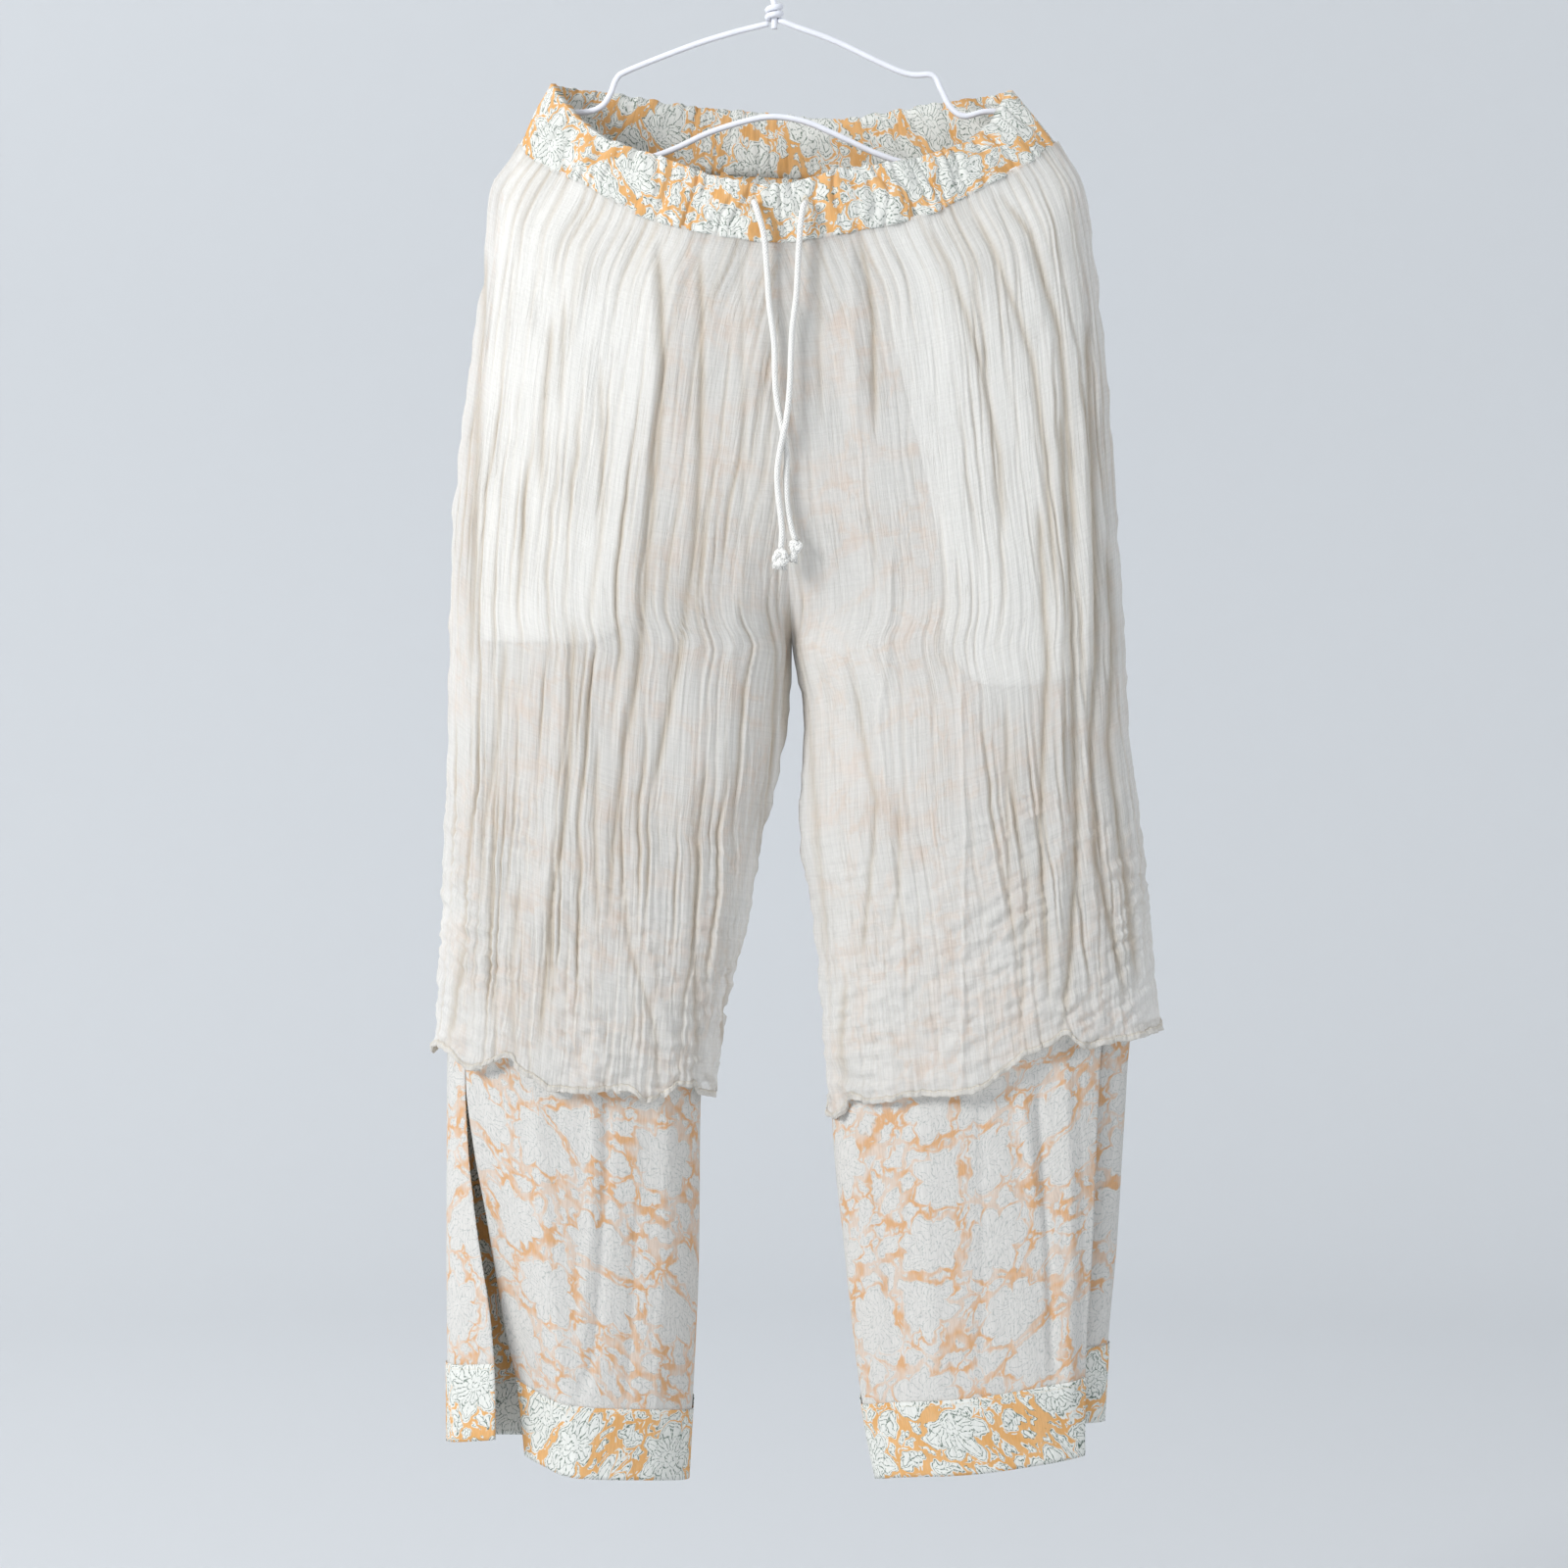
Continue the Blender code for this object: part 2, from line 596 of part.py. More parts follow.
def band_points(face):
    """Grid of one half of the waistband, tip to tip, with its gathers."""
    sign, draw = (-1 if face == "front" else 1), random.Random(5 if face == "front" else 7)
    points = np.empty((3, BAND_COLUMNS + 1, 3))
    lift = np.zeros((3, BAND_COLUMNS + 1))
    for i in range(BAND_COLUMNS + 1):
        across = 2 * i / BAND_COLUMNS - 1
        share = max(1 - abs(across), SEAM_SHARE)
        side = "left" if across <= 0 else "right"
        gather = BAND_GATHER * draw.uniform(0.4, 1.0) * (1 if i % 2 else -1)
        for j, down in enumerate((0.0, 0.5, 1.0)):
            points[j, i] = band_point(side, sign * share, down)
            swell = BAND_SWELL * math.sin(math.pi * down)
            even = 1.0 if down == 0.5 else BAND_EDGE_GATHER
            lift[j, i] = ease((1 - abs(across)) / BAND_FLAT_TIP) * (gather * even + swell)
    return points + lift[..., None] * outward_normals(points, face)


def finish_material(finish):
    (red, green, blue), roughness = FINISHES[finish]
    material = bpy.data.materials.new(finish)
    material.use_nodes = True
    shader = material.node_tree.nodes["Principled BSDF"]
    shader.inputs["Base Color"].default_value = (red, green, blue, 1)
    shader.inputs["Roughness"].default_value = roughness
    shader.inputs["Metallic"].default_value = 0.0
    return material


def link(name, data, finish):
    """Makes a named object with a finish of its own, in the part's collection."""
    made = bpy.data.objects.new(name, data)
    data.materials.append(finish_material(finish))
    bpy.data.collections[NAME].objects.link(made)
    return made


def cloth(name, points, wall, finish):
    """A sheet through a grid of points in millimetres, with an even wall."""
    rows, columns = points.shape[:2]
    sheet = bmesh.new()
    bmesh.ops.create_grid(sheet, x_segments=columns - 1, y_segments=rows - 1, size=1)
    sheet.verts.ensure_lookup_table()
    for vertex, point in zip(sheet.verts, points.reshape(-1, 3)):
        vertex.co = Vector(point) * MM
    mesh = bpy.data.meshes.new(name)
    sheet.to_mesh(mesh)
    sheet.free()
    made = link(name, mesh, finish)
    solidify = made.modifiers.new("wall", "SOLIDIFY")
    solidify.thickness = wall * MM
    solidify.offset = 0
    return made


def smooth_path(points, step):
    """Points spaced evenly along a smooth curve through a few given ones."""
    route = np.array(points, float)
    ends = np.vstack([2 * route[0] - route[1], route, 2 * route[-1] - route[-2]])
    dense = []
    for before, start, end, after in zip(ends, ends[1:], ends[2:], ends[3:]):
        for t in np.linspace(0, 1, 12, endpoint=False):
            dense.append(
                start
                + t / 2 * (end - before)
                + t * t / 2 * (2 * before - 5 * start + 4 * end - after)
                + t ** 3 / 2 * (3 * start - before - 3 * end + after)
            )
    dense = np.array([*dense, route[-1]])
    lengths = np.concatenate([[0], np.cumsum(np.linalg.norm(np.diff(dense, axis=0), axis=1))])
    count = max(int(round(lengths[-1] / step)), 1)
    at = np.linspace(0, lengths[-1], count + 1)
    return np.stack([np.interp(at, lengths, dense[:, k]) for k in range(3)], axis=1)


def tube(name, path, diameter, finish):
    """A round wire or cord along a path in millimetres."""
    curve = bpy.data.curves.new(name, "CURVE")
    curve.dimensions = "3D"
    curve.bevel_depth = diameter / 2 * MM
    curve.bevel_resolution = 2
    curve.use_fill_caps = True
    spline = curve.splines.new("POLY")
    spline.points.add(len(path) - 1)
    for at, point in zip(spline.points, path):
        at.co = (*(Vector(point) * MM), 1)
    return link(name, curve, finish)


def turned(name, start, axis, bulges, finish):
    """A knot turned about the line that its cord ends on."""
    profile = bmesh.new()
    outline = [(0.0, bulges[0].down), *((b.radius, b.down) for b in bulges), (0.0, bulges[-1].down + 1)]
    corners = [profile.verts.new((radius * MM, 0, -down * MM)) for radius, down in outline]
    for above, below in zip(corners, corners[1:]):
        profile.edges.new((above, below))
    bmesh.ops.spin(
        profile, geom=profile.verts[:] + profile.edges[:], cent=(0, 0, 0), axis=(0, 0, 1),
        angle=2 * math.pi, steps=KNOT_SIDES, use_merge=True,
    )
    bmesh.ops.remove_doubles(profile, verts=profile.verts, dist=1e-6)
    bmesh.ops.recalc_face_normals(profile, faces=profile.faces)
    mesh = bpy.data.meshes.new(name)
    profile.to_mesh(mesh)
    profile.free()
    made = link(name, mesh, finish)
    made.location = Vector(start) * MM
    made.rotation_mode = "QUATERNION"
    made.rotation_quaternion = Vector((0, 0, -1)).rotation_difference(Vector(axis))
    return made


def drawstring(side):
    """One free end of the cord, from its buttonhole in the waistband to its knot."""
    x, z = CORD_EXITS[side]
    share = 1 - abs(x - BAND_BOTTOM.centre) / ((BAND_BOTTOM.right - BAND_BOTTOM.left) / 2)
    face = band_point(side, -share, 0.5)[1] - BAND_WALL / 2 - BAND_GATHER - BAND_SWELL - CORD_GAP
    path = smooth_path([(x, face, z), *CORD_ROUTES[side]], CORD_STEP)
    tube(f"drawstring_{side}", path, CORD, "cord")
    along = (path[-1] - path[-2]) / np.linalg.norm(path[-1] - path[-2])
    turned(f"drawstring_knot_{side}", path[-1], along, KNOTS[side], "cord")


def hanger():
    """Hook wire and frame wire. The frame's right end winds round the neck."""
    start, end = HOOK_ARC
    crook = [
        (HOOK_RADIUS * math.cos(a), 0, HOOK_CENTRE + HOOK_RADIUS * math.sin(a))
        for a in np.radians(np.linspace(end, start, 12))
    ]
    neck = [(x, 0, z) for x, z in HOOK_NECK]
    hook = smooth_path([*crook, *neck, (0, 0, SHANK_END)], HOOK_STEP)
    tube("hanger_hook", hook, HANGER_WIRE, "coated_wire")
    winding = HANGER_WIRE + SEAM_GAP
    low = FRAME_RIGHT[-1][1] + HANGER_WIRE
    twist = []
    for k in range(int(TWIST_TURNS * 8) + 1):
        angle = 2 * math.pi * k / 8
        twist.append((winding * math.cos(angle), winding * math.sin(angle), low + TWIST_PITCH * k / 8))
    frame = smooth_path([(x, 0, z) for x, z in (*FRAME_LEFT, *FRAME_RIGHT)], FRAME_STEP)
    tube("hanger_frame", [*frame, *twist], HANGER_WIRE, "coated_wire")


def trousers():
    for face in ("front", "back"):
        cloth(f"waistband_{face}", band_points(face), BAND_WALL, "print_face")
        for side in ("left", "right"):
            cloth(f"gauze_{face}_{side}", gauze_points(side, face), GAUZE_WALL, "gauze")
            points = print_points(side, face)
            cloth(f"print_{face}_{side}", points, PRINT_WALL, "print_back")
            cloth(f"hem_turn_up_{face}_{side}", turn_up_points(points, face), PRINT_WALL, "print_face")
    for side in ("left", "right"):
        bag = bag_points(side, print_points(side, "front"))
        cloth(f"pocket_bag_{side}", bag, BAG_WALL, "bag")
        drawstring(side)


def main():
    for old in list(bpy.data.objects):
        bpy.data.objects.remove(old)
    bpy.context.scene.collection.children.link(bpy.data.collections.new(NAME))
    trousers()
    hanger()


main()
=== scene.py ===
"""Looks of a pair of pleated trousers, hung inside out on a coated wire hanger.

Outermost is crinkled cotton gauze. Under it are the printed cotton legs, wrong side out,
with turned-up hems and side slits, and white pocket bags between the two layers.
Tables and sizes are in millimetres, and MM turns them into the frame's metres.
Left and right are as seen from the front, which faces -Y.
"""

import json
import logging
import math
from dataclasses import dataclass, field
from enum import Enum
from typing import Callable, Mapping, NamedTuple, Sequence

import bmesh
import bpy
import numpy as np
from bpy.types import Material, NodeSocket, NodeTree, Object
from mathutils import Matrix, Vector

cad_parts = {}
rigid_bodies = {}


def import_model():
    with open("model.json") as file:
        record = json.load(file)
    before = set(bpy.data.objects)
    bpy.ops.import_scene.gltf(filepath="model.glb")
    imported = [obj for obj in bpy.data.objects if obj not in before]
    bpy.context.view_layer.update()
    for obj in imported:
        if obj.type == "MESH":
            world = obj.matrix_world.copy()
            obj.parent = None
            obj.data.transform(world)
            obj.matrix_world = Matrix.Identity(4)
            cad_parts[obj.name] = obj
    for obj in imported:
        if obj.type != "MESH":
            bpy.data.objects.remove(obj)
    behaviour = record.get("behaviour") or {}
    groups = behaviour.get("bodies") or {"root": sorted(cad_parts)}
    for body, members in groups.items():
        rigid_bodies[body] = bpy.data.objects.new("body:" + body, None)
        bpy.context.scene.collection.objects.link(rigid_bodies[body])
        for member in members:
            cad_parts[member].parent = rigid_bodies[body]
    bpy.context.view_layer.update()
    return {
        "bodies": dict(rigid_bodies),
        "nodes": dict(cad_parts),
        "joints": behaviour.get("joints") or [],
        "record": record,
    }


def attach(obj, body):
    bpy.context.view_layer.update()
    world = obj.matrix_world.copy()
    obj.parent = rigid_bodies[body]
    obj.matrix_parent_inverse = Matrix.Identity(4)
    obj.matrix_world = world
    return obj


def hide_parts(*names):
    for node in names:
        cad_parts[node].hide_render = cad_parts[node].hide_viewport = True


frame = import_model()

LOG = logging.getLogger("trousers")
MM = 0.001
BODY = "root"


class Side(Enum):
    """A leg, as seen from the front."""

    LEFT = "left"
    RIGHT = "right"


class Face(Enum):
    """The front or the back of the garment, with its sign in a signed share across."""

    FRONT = "front"
    BACK = "back"

    @property
    def sign(self) -> int:
        """-1 on the front and 1 on the back."""
        return -1 if self is Face.FRONT else 1


class Level(NamedTuple):
    """Widths and depths of both halves of a layer at one height."""

    z: float
    left_out: float
    left_in: float
    right_in: float
    right_out: float
    front: float
    back: float


class BandRow(NamedTuple):
    """Edges of the waistband, by place across from left tip -1 to right tip 1."""

    place: float
    front_top: float
    front_bottom: float
    back_top: float
    back_bottom: float


class BandEdge(NamedTuple):
    """Tips, centre and depths of one edge of the waistband, seen from above."""

    left: float
    centre: float
    right: float
    front: float
    back: float


class Slit(NamedTuple):
    """Free edges of a printed leg at a height, as shares of the front from the side.

    The tucks are how far the front and the back edge lie inside the other panel.
    """

    z: float
    front_edge: float
    back_edge: float
    front_tuck: float
    back_tuck: float


class SmoothTable:
    """Smooth values between the rows of a table, with no overshoot."""

    def __init__(self, rows: Sequence[Sequence[float]]) -> None:
        """Args:
            rows: rows of numbers, the first in each being the key.
        """
        table = np.array(sorted(tuple(row) for row in rows), float)
        self.keys, self.values = table[:, 0], table[:, 1:]
        rises = np.diff(self.values, axis=0) / np.diff(self.keys)[:, None]
        self.slopes = np.vstack([rises[:1], rises])
        for i in range(1, len(self.keys) - 1):
            before, after = rises[i - 1], rises[i]
            mean = 2 * before * after / np.where(before + after == 0, 1, before + after)
            self.slopes[i] = np.where(before * after > 0, mean, 0)

    def __call__(self, key: float) -> np.ndarray:
        """Args:
            key: where to read the table; past its ends, the end row holds.

        Returns:
            The values there, one for each column after the key.
        """
        key = min(max(key, self.keys[0]), self.keys[-1])
        i = min(int(np.searchsorted(self.keys, key, side="right")) - 1, len(self.keys) - 2)
        step = self.keys[i + 1] - self.keys[i]
        t = (key - self.keys[i]) / step
        start = (1 + 2 * t) * (1 - t) ** 2 * self.values[i] + t * (1 - t) ** 2 * step * self.slopes[i]
        end = t * t * (3 - 2 * t) * self.values[i + 1] - t * t * (1 - t) * step * self.slopes[i + 1]
        return start + end


def ease(value: np.ndarray | float) -> np.ndarray:
    """Smooth step from 0 to 1, of a number or an array."""
    value = np.clip(value, 0.0, 1.0)
    return value * value * (3 - 2 * value)


def grain(across: np.ndarray, down: np.ndarray, seed: int) -> np.ndarray:
    """Smooth noise over two arrays of coordinates.

    Args:
        across: first coordinate, in steps of the noise.
        down: second coordinate, in steps of the noise.
        seed: which of the many patterns to give.

    Returns:
        Values from about -1 to 1.
    """
    size = 256
    turns = np.random.default_rng(seed).uniform(0, 2 * math.pi, (size, size))
    column, row = np.floor(across).astype(int), np.floor(down).astype(int)
    x, y = across - column, down - row

    def corner(right: int, below: int) -> np.ndarray:
        angle = turns[(column + right) % size, (row + below) % size]
        return np.cos(angle) * (x - right) + np.sin(angle) * (y - below)

    blend_x, blend_y = (t ** 3 * (t * (t * 6 - 15) + 10) for t in (x, y))
    top = corner(0, 0) * (1 - blend_x) + corner(1, 0) * blend_x
    bottom = corner(0, 1) * (1 - blend_x) + corner(1, 1) * blend_x
    return (top * (1 - blend_y) + bottom * blend_y) * 1.5


def furrows(place: np.ndarray, down: np.ndarray, pitch: float, width: float, seed: int) -> np.ndarray:
    """Long thin lines that wander, fade in and out, and keep their width.

    Args:
        place: place across them, in millimetres.
        down: place along them, in millimetres.
        pitch: mean distance from line to line.
        width: half width of a line.
        seed: which of the many patterns to give.

    Returns:
        1 in the middle of a strong line, 0 between lines.
    """
    steps = place / pitch
    total = np.zeros_like(steps)
    golden = 1.618
    for shift in (-1, 0, 1):
        number = np.round(steps) + shift
        aside = 0.45 * grain(number * golden + 0.5, down / 210, seed)
        aside = aside + 0.12 * grain(number * 1.37, down / 40, seed + 1)
        strength = np.clip(0.55 + 1.25 * grain(number * golden + 9.3, down / 130, seed + 2), 0, 1)
        far = (steps - number - aside) * pitch / width
        total = np.maximum(total, strength * np.exp(-far * far))
    return total


def resample(values: np.ndarray, old: np.ndarray, new: np.ndarray) -> np.ndarray:
    """Reads rows of an array on a smooth curve between them.

    Args:
        values: array whose first axis goes with old.
        old: rising places of its rows.
        new: places at which to read.

    Returns:
        The array with one row for each new place.
    """
    slopes = np.gradient(values, old, axis=0)
    i = np.clip(np.searchsorted(old, new, side="right") - 1, 0, len(old) - 2)
    shape = (-1,) + (1,) * (values.ndim - 1)
    step = (old[i + 1] - old[i]).reshape(shape)
    t = ((new - old[i]) / (old[i + 1] - old[i])).reshape(shape)
    start = (1 + 2 * t) * (1 - t) ** 2 * values[i] + t * (1 - t) ** 2 * step * slopes[i]
    return start + t * t * (3 - 2 * t) * values[i + 1] - t * t * (1 - t) * step * slopes[i + 1]


def smooth_path(points: Sequence[Sequence[float]], step: float) -> np.ndarray:
    """Evenly spaced points along a smooth curve through a few given ones.

    Args:
        points: points that the curve passes through.
        step: length between the points of the result.

    Returns:
        Array of points, with both ends kept.
    """
    route = np.array(points, float)
    ends = np.vstack([2 * route[0] - route[1], route, 2 * route[-1] - route[-2]])
    dense = []
    for before, start, end, after in zip(ends, ends[1:], ends[2:], ends[3:]):
        for t in np.linspace(0, 1, 24, endpoint=False):
            dense.append(
                start
                + t / 2 * (end - before)
                + t * t / 2 * (2 * before - 5 * start + 4 * end - after)
                + t ** 3 / 2 * (3 * start - before - 3 * end + after)
            )
    dense = np.array([*dense, route[-1]])
    lengths = np.concatenate([[0], np.cumsum(np.linalg.norm(np.diff(dense, axis=0), axis=1))])
    at = np.linspace(0, lengths[-1], max(int(round(lengths[-1] / step)), 1) + 1)
    return np.stack([np.interp(at, lengths, dense[:, k]) for k in range(3)], axis=1)


class Ring:
    """Part of an ellipse from the side seam inwards, read by the share of its length."""

    def __init__(self, out: float, inner: float, depth: float, sweep: float, fold: float = 1.0) -> None:
        """Args:
            out: place across of the side seam.
            inner: place across of the inner end.
            depth: half depth of the whole ellipse.
            sweep: angle from the side seam to the inner end.
            fold: 1 for an ellipse, and less for a flatter face with a tighter turn at the seams.
        """
        self.out, self.depth, self.fold = out, depth, fold
        self.half = (inner - out) / (1 - math.cos(sweep))
        self.angles = np.linspace(0, sweep, 97)
        xs, ys = self.half * (1 - np.cos(self.angles)), depth * np.sin(self.angles)
        lengths = np.concatenate([[0], np.cumsum(np.hypot(np.diff(xs), np.diff(ys)))])
        self.length, self.shares = lengths[-1], lengths / lengths[-1]

    def point(self, share: float) -> tuple[float, float]:
        """Place across, and depth out from the side seam's plane, at a share of the length."""
        angle = float(np.interp(share, self.shares, self.angles))
        return self.out + self.half * (1 - math.cos(angle)), self.depth * max(math.sin(angle), 0.0) ** self.fold


@dataclass(frozen=True)
class WaistbandForm:
    """Lie of the gathered waistband, which every panel hangs from."""

    top: BandEdge = BandEdge(-146.0, 2.0, 155.5, 46, 46)
    bottom: BandEdge = BandEdge(-168.4, 2.0, 187.2, 49, 46)
    edges: SmoothTable = SmoothTable(
        (
            BandRow(-1.00, -105.0, -149.5, -105.0, -149.5),
            BandRow(-0.90, -127.0, -166.5, -105.0, -151.0),
            BandRow(-0.75, -146.5, -178.5, -105.5, -153.0),
            BandRow(-0.50, -160.0, -203.5, -110.5, -158.0),
            BandRow(-0.25, -174.0, -214.5, -114.0, -161.0),
            BandRow(0.00, -179.0, -220.0, -117.0, -163.0),
            BandRow(0.25, -169.0, -213.5, -120.5, -166.0),
            BandRow(0.50, -163.0, -203.0, -116.0, -162.0),
            BandRow(0.75, -152.0, -179.0, -111.0, -156.0),
            BandRow(0.90, -136.0, -163.0, -110.0, -151.0),
            BandRow(1.00, -109.5, -148.2, -109.5, -148.2),
        )
    )

    def point(self, side: Side, place: float, down: float, outwards: float = 0.0) -> np.ndarray:
        """Point of the band.

        Args:
            side: which half.
            place: share in from the tip, negative on the front.
            down: share down from the top edge.
            outwards: how far the point lies outside the middle of the band.

        Returns:
            The point, in millimetres.
        """
        ends = []
        for edge, column in ((self.top, 0), (self.bottom, 1)):
            out = edge.left - outwards if side is Side.LEFT else edge.right + outwards
            depth = (edge.front if place < 0 else edge.back) + outwards
            x, y = Ring(out, edge.centre, depth, math.pi / 2).point(abs(place))
            across = (x - edge.centre) / abs(out - edge.centre)
            z = self.edges(across)[column if place < 0 else column + 2]
            ends.append(np.array([x, -y if place < 0 else y, z]))
        return ends[0] + down * (ends[1] - ends[0])


BAND = WaistbandForm()


@dataclass(frozen=True)
class LayerForm:
    """One cloth layer of the trousers: a section at each height, from trunk to legs."""

    levels: SmoothTable
    rise: tuple[float, float]
    on_band: float
    under_band: float
    fold: float = 0.7
    ease_below_band: float = 48.0

    def ring(self, side: Side, z: float, face: Face) -> Ring:
        """The section of one panel at a height."""
        left_out, left_in, right_in, right_out, front, back = self.levels(z)
        out, inner = (left_out, left_in) if side is Side.LEFT else (right_out, right_in)
        down = min(max((self.rise[0] - z) / (self.rise[0] - self.rise[1]), 0.0), 1.0)
        sweep = math.pi / 2 * (1 + down ** 2)
        return Ring(out, inner, front if face is Face.FRONT else back, sweep, self.fold)

    def point(self, side: Side, place: float, z: float) -> np.ndarray:
        """Point of the layer at a signed share across and a height, in millimetres."""
        face = Face.FRONT if place < 0 else Face.BACK
        x, y = self.ring(side, z, face).point(abs(place))
        return np.array([x, face.sign * y, z])

    def top(self, side: Side, place: float) -> float:
        """Height at which a panel meets the waistband."""
        return float(BAND.point(side, place, 1.0)[2]) - self.under_band

    def hung_point(self, side: Side, place: float, z: float, top: float) -> np.ndarray:
        """The layer's point, drawn in to the waistband's lower edge near the top."""
        point = self.point(side, place, z)
        share = 1 - float(ease((top - z) / self.ease_below_band))
        if share > 0:
            seam = BAND.point(side, place, 1.0, self.on_band)
            point[:2] += share * (seam[:2] - self.point(side, place, top)[:2])
        return point


GAUZE_FORM = LayerForm(
    levels=SmoothTable(
        (
            Level(-105, -150.0, 1.0, 1.0, 165.0, 47, 45),
            Level(-150, -168.5, 1.0, 1.0, 187.5, 49, 46),
            Level(-180, -187.0, 1.5, 1.5, 204.7, 50, 48),
            Level(-230, -192.5, 2.5, 2.5, 212.5, 51, 51),
            Level(-320, -205.0, 5.0, 5.0, 221.8, 53, 54),
            Level(-400, -213.0, 8.0, 8.0, 227.6, 54, 57),
            Level(-478, -215.0, 11.7, 11.7, 232.6, 54, 58),
            Level(-525, -216.0, 9.5, 19.5, 234.3, 53, 57),
            Level(-560, -216.5, 4.0, 18.5, 238.0, 52, 56),
            Level(-600, -218.0, -6.5, 16.5, 243.3, 52, 55),
            Level(-660, -220.0, -17.0, 26.0, 249.4, 52, 55),
            Level(-720, -223.0, -32.0, 31.3, 254.5, 54, 56),
            Level(-790, -231.0, -40.0, 36.5, 266.0, 56, 58),
        )
    ),
    rise=(-330.0, -478.0),
    on_band=0.9,
    under_band=-3.5,
)

PRINT_FORM = LayerForm(
    levels=SmoothTable(
        (
            Level(-105, -148.0, 1.0, 1.0, 163.0, 45, 43),
            Level(-150, -166.5, 1.0, 1.0, 185.0, 46, 43),
            Level(-180, -181.0, 1.5, 1.5, 198.5, 45, 43),
            Level(-230, -187.0, 2.5, 2.5, 207.0, 45, 44),
            Level(-320, -199.5, 5.0, 5.0, 216.0, 46, 46),
            Level(-400, -207.5, 8.0, 8.0, 222.0, 46, 48),
            Level(-466, -209.5, 11.5, 11.5, 226.5, 45, 48),
            Level(-525, -210.5, 3.0, 26.5, 228.5, 44, 47),
            Level(-560, -211.0, -2.5, 25.0, 231.5, 44, 46),
            Level(-600, -212.5, -13.5, 23.5, 235.5, 44, 46),
            Level(-660, -214.5, -24.5, 33.0, 238.5, 44, 45),
            Level(-720, -216.0, -40.0, 37.8, 237.0, 44, 44),
            Level(-752, -216.5, -46.5, 37.8, 233.8, 44, 44),
            Level(-790, -216.5, -49.0, 38.3, 231.5, 44, 43),
            Level(-880, -216.5, -49.8, 46.5, 226.0, 45, 43),
            Level(-950, -216.5, -52.5, 54.0, 220.5, 45, 43),
            Level(-1000, -216.5, -55.5, 61.5, 218.5, 45, 43),
            Level(-1035, -216.5, -57.4, 68.5, 218.0, 45, 43),
        )
    ),
    rise=(-318.0, -466.0),
    on_band=-0.8,
    under_band=-3.5,
)


class Crease(NamedTuple):
    """A long crease or ridge: its line across and up, its half width and its rise."""

    line: Sequence[tuple[float, float]]
    half_width: float
    rise: float


def crease_rise(creases: Sequence[Crease], x: np.ndarray, z: np.ndarray) -> tuple[np.ndarray, np.ndarray]:
    """How far the long creases of a panel stand out, and how deep each point lies in one.

    Args:
        creases: the creases of the panel.
        x: places across, one for each point.
        z: heights, one for each point.

    Returns:
        Rises in millimetres, and depths from 0 to 1.
    """
    total, deep = np.zeros_like(z), np.zeros_like(z)
    for crease in creases:
        line = np.array(crease.line)[::-1]
        middle = np.interp(z, line[:, 1], line[:, 0])
        middle = middle + 0.8 * grain(z / 23, 0 * z + crease.half_width * 7, 91)
        fade = ease((z - line[0, 1]) / 45 + 0.5) * ease((line[-1, 1] - z) / 30 + 0.5)
        near = np.exp(-(np.abs(x - middle) / crease.half_width) ** 1.6) * fade
        total += crease.rise * near
        if crease.rise < 0:
            deep = np.maximum(deep, near * min(-crease.rise / 2.2, 1.0))
    return total, deep


@dataclass
class Cloth:
    """A sheet as a grid of points, rows from the top down.

    Attributes:
        points: places of the points, in millimetres.
        flat: place of each point on the flat cloth, across and down, in millimetres.
        crease: how deep in a crease each point lies, 0 to 1; the gauze paints its shade by it.
    """

    points: np.ndarray
    flat: np.ndarray
    crease: np.ndarray

    def normals(self, face: Face) -> np.ndarray:
        """Unit normals of the grid, away from the body."""
        across, down = np.gradient(self.points, axis=1), np.gradient(self.points, axis=0)
        normals = np.cross(across, down)
        normals /= np.maximum(np.linalg.norm(normals, axis=2, keepdims=True), 1e-9)
        return normals * (1 if (normals[..., 1] * face.sign).sum() > 0 else -1)

    def lifted(self, lift: np.ndarray | float, face: Face) -> "Cloth":
        """The same cloth, moved out by a height at each point."""
        lift = np.broadcast_to(lift, self.points.shape[:2])
        moved = self.points + lift[..., None] * self.normals(face)
        return Cloth(moved, self.flat, self.crease)

    def rows(self, first: int, last: int | None = None) -> "Cloth":
        """Some of the rows, as a cloth of their own."""
        return Cloth(self.points[first:last], self.flat[first:last], self.crease[first:last])

    def shown_area(self) -> float:
        """Area of the sheet as it hangs, in square metres."""
        right, down = np.diff(self.points, axis=1)[:-1], np.diff(self.points, axis=0)[:, :-1]
        return float(np.linalg.norm(np.cross(right, down), axis=2).sum()) * MM * MM

    def piece(self, name: str, face: Face) -> Object:
        """Makes the sheet a mesh object, its faces pointing out, with its flat map and crease."""
        rows, columns = self.points.shape[:2]
        sheet = bmesh.new()
        bmesh.ops.create_grid(sheet, x_segments=columns - 1, y_segments=rows - 1, size=1)
        mesh = bpy.data.meshes.new(name)
        sheet.to_mesh(mesh)
        sheet.free()
        mesh.vertices.foreach_set("co", (self.points.reshape(-1) * MM).astype(np.float32))
        corners = np.empty(len(mesh.loops), np.int32)
        mesh.loops.foreach_get("vertex_index", corners)
        layer = mesh.uv_layers.new(name="cloth")
        flat = (self.flat.reshape(-1, 2) * MM)[corners].astype(np.float32)
        layer.data.foreach_set("uv", flat.reshape(-1))
        crease = mesh.attributes.new("crease", "FLOAT", "POINT")
        crease.data.foreach_set("value", self.crease.reshape(-1).astype(np.float32))
        mesh.shade_smooth()
        mesh.update()
        outward = self.normals(face)[rows // 2, columns // 2]
        middle = mesh.polygons[(rows // 2) * (columns - 1) + columns // 2]
        if float(np.dot(outward, middle.normal)) < 0:
            mesh.flip_normals()
        return link(bpy.data.objects.new(name, mesh))


